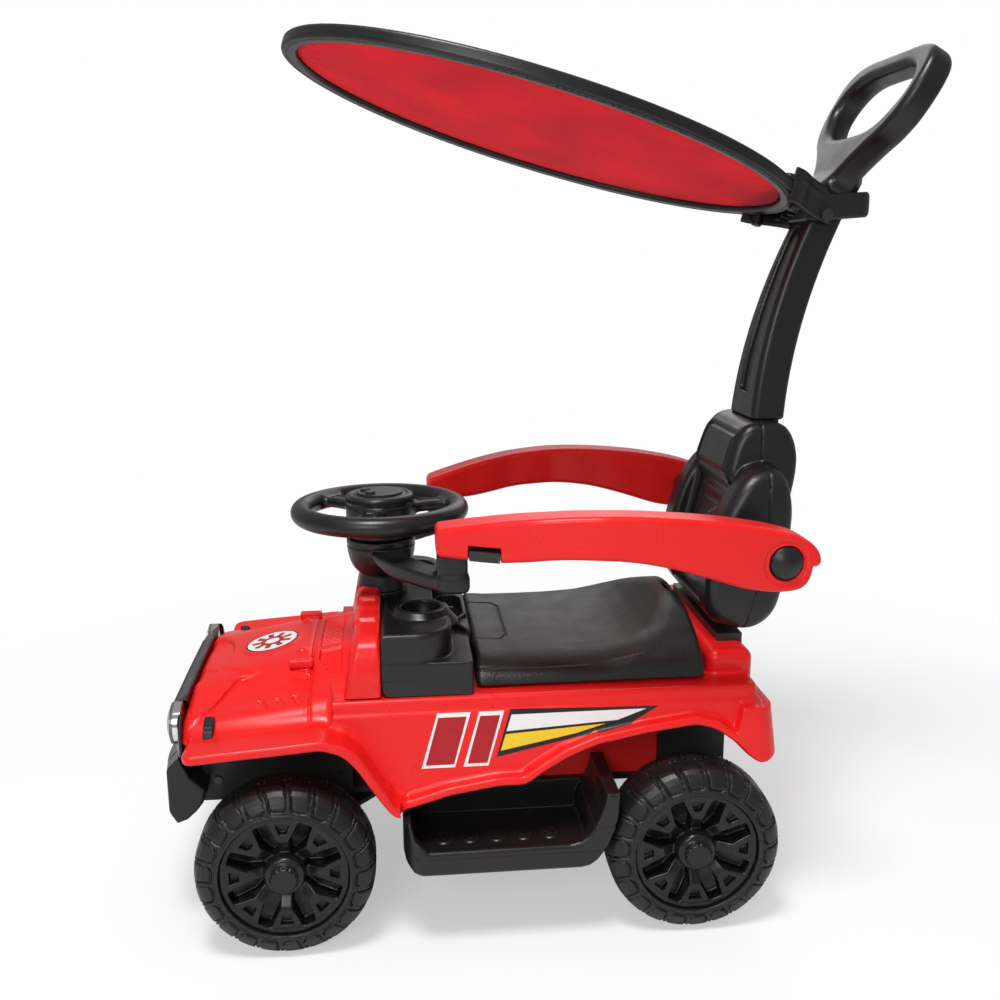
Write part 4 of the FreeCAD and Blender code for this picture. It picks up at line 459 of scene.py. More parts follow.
FINISHES = {
    "body_red": plastic("red_moulding", (0.80, 0.011, 0.011), (0.26, 0.36), 700.0, 0.00005, 0.03),
    "trim_black": plastic("black_moulding", (0.0075, 0.0075, 0.0082), (0.29, 0.38), 800.0, 0.00005,
                          0.12, shine=0.45),
    "seat_black": plastic("grained_black", (0.0085, 0.0085, 0.0095), (0.34, 0.44), 900.0, 0.00008,
                          0.12, leather=420.0, shine=0.45),
    "tyre_black": plastic("tyre_black", (0.008, 0.008, 0.009), (0.32, 0.44), 600.0, 0.00008, 0.15,
                          shine=0.4),
    "wheel_cover_black": plastic("wheel_trim_black", (0.007, 0.007, 0.0075), (0.22, 0.32), 900.0,
                                 0.00004, 0.10, shine=0.4),
    "latch_rubber": plastic("latch_rubber", (0.009, 0.009, 0.0095), (0.40, 0.55), 500.0, 0.00010,
                            0.15),
    "button_black": plastic("button_black", (0.012, 0.012, 0.013), (0.20, 0.30), 900.0, 0.00003,
                            0.08),
    "steel": metal("zinc_steel", (0.60, 0.60, 0.61), (0.22, 0.40)),
    "lamp_chrome": metal("lamp_chrome", (0.80, 0.80, 0.82), (0.04, 0.12)),
    "lamp_clear": clear("lamp_clear", (0.95, 0.96, 0.97)),
    "canopy_cloth": cloth("canopy_cloth", (0.74, 0.016, 0.044), 420.0),
}
SCREW = metal("screw_dark", (0.10, 0.10, 0.105), (0.30, 0.50))
WHITE = ink("label_white", (0.82, 0.82, 0.81), 0.03)
YELLOW = ink("label_yellow", (0.86, 0.58, 0.02), 0.04)
DARK_RED = ink("label_dark_red", (0.40, 0.008, 0.014), 0.05)
LABEL_BLACK = ink("label_black", (0.012, 0.012, 0.013), 0.08)

# Carried-over CAD nodes take the finish of their slot, and their sharp edges are eased
NODE_EASE, EASE_FROM = 0.0007, math.radians(40)
for row in frame["record"]["subparts"]:
    node = frame["nodes"][row["node"]]
    node.data.materials.clear()
    node.data.materials.append(FINISHES[row["material_slot"]])
    ease = node.modifiers.new("ease", "BEVEL")
    ease.width, ease.segments = NODE_EASE, 2
    ease.limit_method, ease.angle_limit = "ANGLE", EASE_FROM
frame["nodes"]["body_screws"].data.materials[0] = SCREW


# Body moulding

LOW_LINE = Line([
    (-100, 168), (-84, 167), (-76, 164), (-68, 163), (-60, 167), (-52, 175), (-44, 184),
    (-34, 191), (-24, 199), (-4, 205), (45, 199), (93, 190), (122, 179), (145, 166), (163, 154),
    (189, 154), (236, 147), (279, 135), (290, 138), (306, 161), (323, 189), (336, 202),
    (354, 208), (390, 205), (435, 202), (475, 199), (500, 199)], 3.5)
CREASE = Line([(364, 88), (373, 86), (400, 76), (420, 70), (438, 70), (446, 79), (454, 98),
               (462, 114), (490, 145)], 3.0)
RIDGE = Line([(360, 118), (389, 98), (456, 47), (490, 20)], 5.0)
LEDGE_Z, TUB_HALF, TUB_LEAN, TAIL_X = 237.0, 150.0, 0.103, -68.0
LEAN_SCALE = 0.994                       # keeps the field of the leaning sides a true distance
HOOD_REAR, HOOD_FRONT, HOOD_REAR_Z, HOOD_FALL = 331.0, 485.5, 262.0, 30.0 / 151.0
HOOD_HALF, HOOD_SCALE = 142, 0.93
CREASE_DEPTH, RIDGE_RISE, MOON_DEPTH, RECESS_DEPTH = 3.6, 1.6, 4.2, 3.6
PANEL_LINE_X, PANEL_LINE_DEPTH = 367, 2.2
LOUVRE_X, LOUVRE_HALF, LOUVRE_REACH, LOUVRE_PITCH, LOUVRE_RIB = 349, 12, 42, 7.0, 3.2
HOOD_CORNER = [(337, 50), (361, 50), (361, 66), (350, 88), (337, 92)]
EMBLEM_X, EMBLEM_R, EMBLEM_RISE = 414.0, 29.0, 1.2
VENT_X, VENT_Y, VENT_PITCH, VENTS, VENT_DEPTH = 379.0, 117.0, 17.0, 3, 2.2
PEDESTAL = (-73, -118, 200), (-26, 118, 261)
SEAT_OPENING = (18, -94.5, 222), (190, 94.5, 260)
FENDER_HALF, FENDER_FRONT, LIP_OUT = 190, 479.5, 12
HINGE_X, BUTTON_AT, BUTTON_R = 378, (379, 44), 6.5
SHELL_T = 6.5


def tub_side(x, ay, z):
    """Sides and tail of the tub, which lean out downwards."""
    half = TUB_HALF + TUB_LEAN * (LEDGE_Z - z) - 2.2 * ramp((z - 222) / 4)
    tail = -(x - TAIL_X + TUB_LEAN * (LEDGE_Z - z)) * LEAN_SCALE
    return rmax((ay - half) * LEAN_SCALE, tail, 10)


def hood_z(x, ay):
    """Height of the hood with its folds, panel line, louvres, recess and seat of the emblem."""
    z = HOOD_REAR_Z - HOOD_FALL * (x - HOOD_REAR) - 4 * (ay / HOOD_HALF) ** 2
    z = z - 12 * ramp((ay - 55) / 85)
    z = z - 0.079 * np.clip(478 - x, 0, 142) * ramp((ay - 40) / 60)
    lid = ramp((x - 366) / 8)
    crease = ay - CREASE.at(x)
    z = z - CREASE_DEPTH * ramp(crease / 3.5 + 0.5) * lid * ramp((HOOD_HALF - ay) / 40)
    z = z + RIDGE_RISE * ramp((RIDGE.at(x) - ay) / 7 + 0.5) * lid
    moon = np.hypot((x - 484) / 30, ay / 64)
    z = z - MOON_DEPTH * ramp((1 - moon) * 12)
    z = z - PANEL_LINE_DEPTH * bump((x - PANEL_LINE_X) / 1.3)
    louvre = np.maximum(np.abs(x - LOUVRE_X) - LOUVRE_HALF, ay - LOUVRE_REACH)
    ribs = 0.5 + 0.5 * np.cos(ay * 2 * math.pi / LOUVRE_PITCH)
    z = z - ramp(-louvre / 1.5) * (RECESS_DEPTH - LOUVRE_RIB * ribs)
    z = z - RECESS_DEPTH * ramp(-poly(x, ay, HOOD_CORNER) / 1.5)
    return z + EMBLEM_RISE * ramp((EMBLEM_R + 3 - np.hypot(x - EMBLEM_X, ay)) / 2)


def body_hull(x, ay, z):
    """Tub, hood and backrest pedestal, filled."""
    tub = np.maximum(rmax(tub_side(x, ay, z), z - LEDGE_Z, 4), x - 345)
    flank = ay - 141.5 - 0.05 * (225 - z)
    hood = rmax((z - hood_z(x, ay)) * HOOD_SCALE, flank, 24)
    hood = rmax(hood, x - HOOD_FRONT - 0.1 * (233 - z), 7)
    pedestal = block((x, ay, z), *PEDESTAL, 11)
    return rmin(rmin(tub, np.maximum(hood, 325 - x), 6), pedestal, 3)


def body_form(x, y, z):
    """Shell of the hull with its turned-out lip, fenders, hinges, hood buttons and vents."""
    ay = np.abs(y)
    low = LOW_LINE.above(x, z)
    hull = body_hull(x, ay, z)
    side = tub_side(x, ay, z)
    lip = rmax(low - 8 - 46 * ramp((-42 - x) / 16), side - LIP_OUT, 3)
    lip = rmax(rmax(lip, z - 219, 3), -low, 2.5)
    lip = np.maximum(np.maximum(lip, x - 290), -side - 8)
    wide = rmax(ay - FENDER_HALF, x - FENDER_FRONT, 11)
    fender = rmax(rmax(low - 9.5 + 0.06 * (FENDER_HALF - ay), wide, 3.5), -low, 2.5)
    fender = np.maximum(np.maximum(fender, 283 - x), 128 - ay)
    form = rmin(rmin(np.maximum(hull, -low), lip, 5), fender, 8)
    top = HOOD_REAR_Z - HOOD_FALL * (HINGE_X - HOOD_REAR)
    form = rmin(form, ball((x, ay, z), (*BUTTON_AT, top - 2.5), BUTTON_R), 1.5)
    hinge = block((x, ay, z), (HINGE_X - 12, 70, top - 6), (HINGE_X + 12, 80, top + 2.2), 1.8)
    form = rmin(form, hinge, 1.0)
    for n in range(VENTS):
        along = x - VENT_X - n * VENT_PITCH + 0.4 * (ay - VENT_Y)
        vent = rmax(np.abs(along) - 3.2, np.abs(ay - VENT_Y) - 8, 2)
        form = form + VENT_DEPTH * ramp((1.2 - vent) / 2.4) * ramp((z - 206) / 6)
    form = less(form, hull + SHELL_T, 0.8)
    return less(form, block((x, y, z), *SEAT_OPENING, 3), 0.6)


COWL_TOP = Line([(0, 312), (30, 312), (58, 307), (75, 303), (100, 300), (125, 295), (138, 287),
                 (147, 266)], 3.0)
CUP_X, CUP_Y, COLUMN_X = 257.8, 75.0, 296.0


def cowl_form(x, y, z):
    """Windscreen base with a stepped crest and a framed recess on each half of its front."""
    ay = np.abs(y)
    front = (x - 331 + 0.2 * (z - 252)) * 0.98
    form = rmax(COWL_TOP.above(ay, z), ay - 145, 6)
    form = rmax(rmax(form, front, 6), 298.2 - x, 4)
    for middle in (0, 43.5, 87):
        top = COWL_TOP.at(middle) + 2.6
        step = block((x, ay, z), (299, middle - 13, 280), (322, middle + 13, top), 5)
        form = rmin(form, step, 3)
    pane = np.maximum(np.abs(ay - 66) - 44, slab(z, 268, COWL_TOP.at(ay) - 9))
    form = less(form, np.maximum(pane, -front - 3), 1.5)
    form = np.maximum(form, 238.5 - z)
    return less(form, np.hypot(x - COLUMN_X, y) - 26.5, 1)


# Console, gear pod, column and guard

CONSOLE_FRONT = 297.6
POD_PLAN = [(243.5, -43), (243.5, 43), (224, 46), (211, 61), (207.2, 61), (207.2, -61),
            (211, -61), (224, -46)]
POD_RIM = [(211, -26), (218, -39), (234, -39), (240, -28), (240, 28), (234, 39), (218, 39),
           (211, 26)]
SLEEVE_R = 26
SLEEVE = [(0, 300.5), (SLEEVE_R, 300.5), (SLEEVE_R, 305), (24.5, 314), (23.5, 321), (24, 323.5),
          (27, 325.8), (30.5, 330.5), (33.2, 337), (35, 345), (35.8, 353), (35.8, 360), (0, 360)]
GUARD_PLAN = smooth([
    (300, 10), (306, 30), (301, 50), (284, 79), (262, 106), (243, 128), (228, 133), (214, 131),
    (213.5, 118), (218, 106), (236, 92), (256, 70), (270, 46), (276, 20), (286, 8)])
RING_Z, STEER_LOW, STEER_TOP, STEER_RING, STEER_TUBE = 389.0, 360.6, 406.5, 81.8, 10.4
STEER_SPOKES = (77, 197, 317)


def console_form(x, y, z):
    """Low box with a taller front whose outer corners run round the wells."""
    ay = np.abs(y)
    low = rmax(rmax(rmax(ay - 143, 209.9 - x, 4), x - CONSOLE_FRONT, 2), z - 271, 2.5)
    tower = rmax(rmax(rmax(ay - 142.8, 229 - x, 36), x - CONSOLE_FRONT, 2), z - 299.5, 5)
    form = rmin(low, np.maximum(tower, 255 - z), 2)
    form = rmax(form, rmax(x - 297.7, 237.3 - z, 10), 0.6)
    r = np.hypot(x - CUP_X, ay - CUP_Y)
    ring = rmax((r - 32 + 0.85 * (z - 297)) * 0.76, slab(z, 290, 306), 1.2)
    form = rmin(form, ring, 1.2)
    well = rmax(r - 14.5 - 5 * ramp((z - 278) / 28), 262 - z, 2)
    form = less(form, well, 1.5)
    notch = np.maximum(np.maximum(x - 244.1, ay - 44.5), 260.9 - z)
    return less(form, notch, 1.5)


def pod_form(x, y, z):
    """Small tray with a raised six-sided rim on a wider rear edge."""
    top = z - 277 + 0.35 * np.maximum(216 - x, 0)
    form = rmax(rmax(poly(x, y, POD_PLAN), top, 2), 261.1 - z, 1)
    d = poly(x, y, POD_RIM)
    form = rmin(form, rmax(rmax(np.abs(d) - 2.0, z - 280.5, 1), 262 - z, 1), 1.2)
    return less(form, rmax(d + 2, 266.5 - z, 2), 0.8)


def sleeve_form(x, y, z):
    """Bowl on a collar round the steering column, with two lines round it."""
    r = np.hypot(x - COLUMN_X, y)
    form = np.minimum(poly(r, z, SLEEVE), rmax(r - SLEEVE_R, slab(z, 297.3, 306), 0.8))
    return form + 0.9 * bump((z - 353) / 0.9) + 0.7 * bump((z - 304.5) / 0.9)


def guard_form(x, y, z):
    """Bow from the bowl to a rounded post at each end, thinner at the bowl."""
    ay = np.abs(y)
    arm = rmax(poly(x, ay, GUARD_PLAN), z - 352 + 1.5 * ramp((ay - 60) / 50), 3)
    arm = rmax(arm, 343 - 8.5 * ramp((ay - 35) / 45) - z, 5)
    post = rmax(slab(x, 213.4, 242.4), slab(ay, 107.4, 132.4), 5)
    post = rmax(rmax(post, z - 371.4, 1), 335.5 - z, 6)
    return rmin(arm, post, 5)


def steering_form(x, y, z):
    """Hub, round rim and three spokes with sunk panels."""
    x = x - COLUMN_X
    r = np.hypot(x, y)
    form = rmax(r - 35.4 + 0.05 * np.maximum(384 - z, 0), slab(z, STEER_LOW, STEER_TOP), 4)
    form = form + 0.9 * bump((z - 397) / 1.1) + 0.8 * bump((r - 27.5) / 1.0) * (z > 400)
    tube = np.hypot(r - STEER_RING, z - RING_Z) - STEER_TUBE
    form = np.minimum(form, tube)
    for turn in STEER_SPOKES:
        c, s = math.cos(math.radians(turn)), math.sin(math.radians(turn))
        u, v = x * c + y * s, -x * s + y * c
        half = 10 + 5 * ramp((u - 55) / 26) + 3 * ramp((44 - u) / 10)
        spoke = rmax(np.abs(v) - half, slab(z, RING_Z - 5.5, RING_Z + 5.5), 4)
        spoke = rmax(spoke, slab(u, 25, 80), 2)
        panel = rmax(rmax(np.abs(v) - half + 4.5, slab(u, 41, 67), 3), RING_Z + 4.2 - z, 1)
        form = rmin(form, less(spoke, panel, 1), 5)
    return form


# Seat, backrest and armrests

SEAT_TOP = Line([
    (-20, 291), (-14, 296.5), (-8.7, 298), (2.6, 293), (14, 284), (29.7, 274.5), (50, 268.5),
    (74.8, 264.8), (110, 263.0), (142, 262.4), (180, 262.6), (195, 264), (205.8, 264)], 4.0)
SEAT_SIDE = Line([(0, 298), (20, 297), (40, 293), (60, 287.5), (80, 281), (90, 277.5), (100, 273),
                  (116, 262.5), (130, 250)], 4.0)
SEAT_TONGUE = [(212, -60), (177, -60), (170, -48), (170, 48), (177, 60), (212, 60)]
SEAT_SHELL, HINGE_PIN_X, HINGE_PIN_Z = 4.5, 199.3, 258.7
BACK = smooth([
    (-66, 268), (-50, 272.5), (-37, 284), (-30, 301), (-28.5, 322), (-30, 345), (-34, 366),
    (-42, 390), (-51, 408), (-61, 424), (-73, 437), (-88, 443.5), (-101, 441), (-110, 427),
    (-114.5, 402), (-114.5, 380), (-111.5, 345), (-107, 312), (-100, 290), (-87, 273.5),
    (-76, 268)])
HEAD = smooth([
    (-56, 424), (-59, 445), (-66, 464), (-76, 476), (-88, 480), (-106, 479.5), (-119, 474.5),
    (-127.5, 461), (-131, 440), (-127, 412), (-119, 392), (-95, 388), (-72, 398)])
BACK_FACE = smooth(mirror([
    (0, 268), (50, 268), (80, 269), (92, 276), (98, 290), (100, 310), (100, 345), (100, 385),
    (98, 412), (92, 431), (80, 442), (60, 446), (30, 447)]))
SEAM = Line([(262, -64), (275, -68), (296, -74), (315, -78.5), (345, -84), (389, -88),
             (410, -88.5), (441, -91), (480, -92)], 5.0)
HANDLE_SOCKET = (-119.4, -30.4, 409.6), (-88.6, 30.4, 500)
ARM = smooth([
    (-84, 345), (-93, 349), (-98.5, 358), (-100, 370), (-96, 384), (-86, 394), (-66, 402.5),
    (-30, 410), (1.5, 414.5), (39, 418), (76, 419.7), (112, 419.2), (148, 416.4), (183, 411.4),
    (219, 404.2), (250, 397), (275, 391), (275, 372), (250, 372), (215, 372), (191, 371.6),
    (165, 374.2), (141, 377.4), (116, 378.6), (81, 377.9), (46, 373), (9, 363.2), (-29, 350.8),
    (-48, 346.5), (-68, 344.2)])
ARM_LIP = smooth([
    (-66, 366), (-100, 366), (-105, 367.5), (-107.5, 371), (-106, 379), (-99, 388), (-86, 396),
    (-66, 402.4), (-40, 406.5), (-20, 398), (-20, 372)])
ARM_EDGE = Line([(-130, 189.5), (-108, 191), (-60, 195), (-20, 197), (40, 197), (96, 192.8),
                 (152, 179), (201, 158.6), (243.5, 137), (275, 121)], 6.0)
ARM_HALF, PIVOT_X, PIVOT_Z = 17.0, -73.0, 372.0
LATCH_SLOT = (185.2, 134.5, 360), (214.3, 181, 386.7)


def seat_form(x, y, z):
    """Saddle-shaped lid, hollow underneath, with hinge ears at its front."""
    ay = np.abs(y)
    dish = 2.5 * bump(ay / 70) * ramp((150 - x) / 60) * ramp((x - 25) / 40)
    fall = 14 * np.clip((ay - 91) / 39, 0, 1) ** 1.4 * ramp((x - 20) / 60)
    top = SEAT_TOP.above(x, z) + dish + fall
    form = rmax(rmax(top, SEAT_SIDE.above(ay, z), 8), ay - 129.8, 9)
    form = rmax(rmax(form, x - 205.6, 6), -19.8 - x, 5)
    hollow = form + SEAT_SHELL
    form = form + 1.5 * bump(poly(x, ay, SEAT_TONGUE) / 1.2) * (z > 250)
    form = form + 0.9 * bump((ay - 118) / 1.1) * ramp((x - 20) / 20) * (z > 250)
    form = less(form, block((x, y, z), (-30, -13, 290), (-9, 13, 330), 4), 2.5)
    form = less(np.maximum(form, 239.8 - z), hollow, 0.8)
    r = np.hypot(x - HINGE_PIN_X, z - HINGE_PIN_Z)
    form = np.minimum(form, rmax(r - 5.4, np.abs(ay - 69.5) - 5, 0.8))
    form = less(form, np.maximum(r - 3, ay - 96), 0.3)
    return less(form, block((x, ay, z), (HINGE_PIN_X, 74.3, 220), (230, 85.7, 261.3), 0.5), 0.4)


def backrest_form(x, y, z):
    """Back with a hollow for the child, a headrest, sunk lines and bosses for the armrests."""
    ay = np.abs(y)
    form = rmax(poly(x, z, BACK), poly(y, z, BACK_FACE), 13)
    plane = x + 41 + (z - 269) * 0.165 - 5 * bump((z - 345) / 50)
    hollow = rmax(ay - 58 - 0.05 * (z - 340), -plane, 7)
    form = less(form, np.maximum(hollow, 292 - z), 7)
    head = rmax(poly(x, z, HEAD), ay - 61.5 + 0.10 * (z - 430), 11)
    panel = rmax(ay - 47 + 0.08 * (z - 445), slab(z, 424, 468), 6)
    head = head + (1.9 * bump((panel + 1.5) / 2.0) - 0.8 * bump((panel - 3.0) / 2.2)) * (x > -88)
    form = rmin(form, head, 3)
    for half, low, high in ((47, 306, 402), (33, 318, 390)):
        line = rmax(ay - half + 0.10 * (z - 312), slab(z, low, high), 6)
        form = form + 1.6 * bump(line / 1.1) * (plane > -14) * (ay < 57)
    for rise in (0, 22, 44):
        line = bump((z - 330 - rise - 0.5 * ay) / 1.2)
        form = form + 1.3 * line * (plane > -14) * (ay < 31) * (z < 388)
    form = form + 1.3 * bump((x - SEAM.at(z)) / 0.8)
    boss = rmax(np.hypot(x - PIVOT_X, z - PIVOT_Z) - 16, slab(ay, 66, 157.6), 2.5)
    form = rmin(form, boss, 3)
    form = less(form, block((x, y, z), *HANDLE_SOCKET, 2), 0.6)
    return np.maximum(form, 269.2 - z)


def armrest_form(x, y, z):
    """Bowed arm with a lip over its rear end, a ring round the pivot and a slot for the latch."""
    across = ARM_EDGE.above(x, y) + ARM_HALF
    outline = np.minimum(poly(x, z, ARM), np.maximum(poly(x, z, ARM_LIP), 366.5 - z))
    form = rmax(outline, np.abs(across) - ARM_HALF, 5)
    form = rmax(form, x - 243.3, 5)
    r = np.hypot(x - PIVOT_X, z - PIVOT_Z)
    form = form + 1.1 * bump((r - 19.8) / 1.6) * (across > 12)
    form = less(form, rmax(r - 16.7, 188.7 - y, 0.6), 1.0)
    form = less(form, r - 5.6, 0.3)
    return less(form, block((x, y, z), *LATCH_SLOT, 0.6), 0.6)


def knob_form(x, y, z):
    """Domed cap of the armrest's pivot."""
    r = np.hypot(x - PIVOT_X, z - PIVOT_Z)
    return rmax(rmax(r - 15.9, y - 199.3 + 6.5 * (r / 16) ** 2, 1.6), 188.9 - y, 0.5)


# Foot tray, bumper, hood latches and grille

TRAY_OUT = [
    (282, 128), (282, 96), (279, 87), (272, 79), (264, 77), (112, 77), (104, 79), (97, 84),
    (91, 92), (85, 103), (80, 116), (77, 130), (76, 152), (89, 152), (91, 141), (96, 127),
    (101, 117), (107, 109), (114, 104), (124, 101.5), (258, 101), (270, 112), (274, 128)]
TRAY_FRONT, TRAY_INNER, TRAY_OUTER = 282, 98.3, 194.8
TREAD, TREAD_Y = (138, 164, 190, 216, 242), 152
BUMPER = [(484, 158), (494, 179), (515, 158), (515, 138), (499, 110.5), (489, 114), (480, 122),
          (473, 131), (470, 144)]
BUMPER_PLAN = [(465, -128), (505.5, -128), (515, -72), (515, 72), (505.5, 128), (465, 128)]
BUMPER_MOUNT = (478.2, -70, 126.6), (490, 70, 152)
LATCH = [(149.3, 203), (149.3, 208), (143.5, 216.5), (131, 222), (128.5, 217.5), (138, 211),
         (141, 203)]
LAMP_Y, LAMP_Z, LAMP_R = 115.0, 210.3, 20.0
GRILLE_PLAN = [(486.3, -142), (489, -142), (502, -95), (502, 95), (489, 142), (486.3, 142)]
GRILLE_HALF, NET_PITCH, NET_BAR = 142, 9.0, 1.1
CREST_AT, CREST_FALL = (0, 0.7, 0.9, 0.97, 1.0), (0, 0.04, 0.24, 0.52, 0.8)


def tray_form(x, y, z):
    """Step with a rounded outer corner, a wide basin with tread pads and a raised rear end."""
    form = rmax(poly(x, z, TRAY_OUT), slab(y, TRAY_INNER, TRAY_OUTER), 5)
    form = rmax(form, rmax(y - TRAY_OUTER, x - TRAY_FRONT, 26), 3)
    basin = rmax(slab(x, 103, 272), slab(y, 90, 186), 20)
    form = less(form, rmax(basin, 93 - z, 3), 2.5)
    for middle in TREAD:
        pad = np.hypot(x - middle, (y - TREAD_Y) * 0.8)
        form = form - (1.4 * ramp((10 - pad) / 2) - 1.0 * bump((pad - 5) / 1.2)) * (z < 96)
    form = form + 1.0 * bump((z - 96) / 1.1) * (y > 189) + 1.0 * bump((z - 120) / 1.2) * (x < 100)
    wall = block((x, y, z), (98, TRAY_INNER, 82), (268, 102.2, 124.3), 1)
    return np.minimum(form, wall)


def bumper_form(x, y, z):
    """Bar with swept ends, a sunk panel on each half and the foot that bolts it on."""
    ay = np.abs(y)
    form = rmax(poly(x, z, BUMPER), poly(x, y, BUMPER_PLAN), 2.2)
    notch = np.maximum(np.abs(ay - 52) - 30, slab(z, 141, 155))
    form = less(form, np.maximum(notch, 512.5 - x), 1.0)
    form = form + 1.1 * bump((ay - 96) / 1.2) * (x > 495)
    return np.minimum(form, block((x, y, z), *BUMPER_MOUNT, 1))


def latch_form(x, y, z):
    """Strap latch that holds the hood, with a line across it."""
    form = rmax(poly(np.abs(y), z, LATCH), slab(x, 456.2, 465.6), 1.2)
    return form + 0.7 * bump((z - 213.5) / 0.8)


def grille_form(x, y, z):
    """Nose panel with a framed net of bars between the lamps."""
    ay = np.abs(y)
    crest = 233 - 24 * np.interp(ay / GRILLE_HALF, CREST_AT, CREST_FALL)
    slope = (z - crest + 0.85 * np.maximum(x - 488, 0)) * 0.8
    form = rmax(rmax(poly(x, y, GRILLE_PLAN), slope, 1.5), 179.2 - z, 2)
    form = rmax(form, ay - GRILLE_HALF - 0.9 * (z - 192.5), 2)
    net = rmax(ay - 88, slab(z, 187, 221), 5)
    one, two = [np.abs((way % NET_PITCH) - NET_PITCH / 2) for way in (y + z, y - z)]
    bars = np.minimum(one, two) - NET_BAR
    gaps = np.maximum(np.maximum(net, 494.5 - x), -np.maximum(bars, x - 499.5))
    form = less(form, gaps, 0.4)
    rim = np.maximum(np.abs(net) - 2.2, slab(x, 490, 502.6))
    form = np.minimum(form, rmax(rim, slope - 0.6, 1))
    lamps = np.hypot(ay - LAMP_Y, z - LAMP_Z) - LAMP_R - 0.2
    return less(form, np.maximum(lamps, 486 - x), 0.6)


# Push handle and canopy parts

POLE_FOOT_Z, POLE_H, POLE_X, POLE_LEAN, POLE_SCALE = 480.0, 240.0, -104.0, 75.0, 0.93
HANDLE_TONGUE = (-118.8, -29.8, 410), (-89.2, 29.8, 490)
LOOP_AT, LOOP_TILT, LOOP_HALF = (-164.0, 0.0, 700.5), math.radians(30), 13.8
LOOP_OUT = smooth(mirror([
    (24.5, 6), (30, 16), (44.9, 33), (63.2, 48.7), (80.6, 61.2), (94.5, 79), (101, 101),
    (101.5, 122), (96.5, 139), (83, 150.5), (60, 156.5), (24, 157)]))
LOOP_IN = smooth(mirror([
    (14, 66), (36, 67.5), (52, 71.5), (65, 79), (74, 89), (80.4, 99), (82, 109), (77, 121),
    (65, 130.5), (44, 136), (16, 137)]))
RIM_LOW, RIM_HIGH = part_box("canopy_frame")
CANOPY_MID = np.array((RIM_LOW + RIM_HIGH) / 2)
CANOPY_MID_MM = from_frame(CANOPY_MID)
CANOPY_PITCH, CANOPY_ROLL = math.radians(-16.4), math.radians(7.2)
CANOPY_TURN = np.array(Matrix.Rotation(CANOPY_PITCH, 3, "Y") @ Matrix.Rotation(CANOPY_ROLL, 3, "X"))
CANOPY_A, CANOPY_B, RIM_W, RIM_T = 262.0, 160.0, 15.0, 13.0
CUP_PLAN = smooth(mirror([
    (12, -302), (26, -300), (33, -292), (39, -278), (49, -264), (60, -253), (66, -243),
    (66, -230), (40, -222), (12, -220)]))
CLAMP_Z, CLAMP_REAR = 692.0, 45


def pole_mid(z):
    """Middle of the bent pole at a height."""
    share = (z - POLE_FOOT_Z) / POLE_H
    return POLE_X - POLE_LEAN * (share * 0.25 + share * share * 0.75)


def handle_form(x, y, z):
    """Tapered pole with a sunk line, its tongue in the backrest and the tilted loop on top."""
    share = np.clip((z - POLE_FOOT_Z) / POLE_H, 0, 1.05)
    half_t, half_w = 16.3 + 0.7 * share, 39 - 17 * share
    off = (x - pole_mid(np.clip(z, POLE_FOOT_Z, 740))) * POLE_SCALE
    pole = rmax(np.abs(off) - half_t, np.abs(y) - half_w, 7)
    pole = rmax(pole, slab(z, POLE_FOOT_Z, 716), 3)
    aside = np.maximum(np.abs(y) - 5.5 - 3 * (1 - share), 0)
    line = np.hypot(aside, np.maximum(slab(z, 512, 668), 0)) - 6
    pole = pole + 3.4 * ramp(-line / 1.6 + 0.3) * (off > 5)
    form = np.minimum(pole, block((x, y, z), *HANDLE_TONGUE, 3))
    dx, dz = x - LOOP_AT[0], z - LOOP_AT[2]
    along = -dx * math.sin(LOOP_TILT) + dz * math.cos(LOOP_TILT)
    proud = dx * math.cos(LOOP_TILT) + dz * math.sin(LOOP_TILT)
    outer, inner = poly(y, along, LOOP_OUT), poly(y, along, LOOP_IN)
    ring = rmax(rmax(outer, proud - LOOP_HALF, 7), -inner, 9)
    ring = rmax(ring, -proud - LOOP_HALF, 10)
    return rmin(form, ring, 14)


def in_canopy(x, y, z):
    """Coordinates in the canopy's own plane, with its middle at the origin."""
    d = [c - m for c, m in zip((x, y, z), CANOPY_MID_MM)]
    return [sum(c * CANOPY_TURN[i, k] for i, c in enumerate(d)) for k in range(3)]


def oval(u, v, a, b):
    """Distance to an oval, near its edge."""
    g = np.hypot(u / a, v / b)
    return g * (g - 1) / np.maximum(np.hypot(u / a ** 2, v / b ** 2), 1e-6)


def rim_form(x, y, z):
    """Oval canopy rim with softened edges and a line round its faces."""
    u, v, w = in_canopy(x, y, z)
    edge = oval(u, v, CANOPY_A, CANOPY_B)
    form = rmax(rmax(edge, -edge - RIM_W, 3), np.abs(w) - RIM_T / 2, 3.5)
    return form + 0.9 * bump((edge + 5) / 0.9)


def bracket_form(x, y, z):
    """Cup-shaped yoke from the rim's rear to the pole, walled all round and ribbed underneath."""
    u, v, w = in_canopy(x, y, z)
    av = np.abs(v)
    plan = poly(v, u, CUP_PLAN)
    plate = rmax(plan, slab(w, 6.7, 12), 2)
    wall = rmax(rmax(plan, -plan - 5, 1.5), slab(w, -14, 20 - 6 * ramp((-280 - u) / 16)), 2.5)
    form = rmin(plate, np.maximum(wall, u + 238), 2)
    ribs = np.maximum(np.maximum(slab(av % 16.0, 6.4, 9.6), plan + 3),
                      np.maximum(slab(w, -7, 8), slab(u, -293, -266)))
    form = rmin(form, ribs, 1)
    lugs = rmax(np.hypot(av - 50, u + 251) - 5.5, slab(w, -17, 2), 1.5)
    return rmin(form, lugs, 1.5)


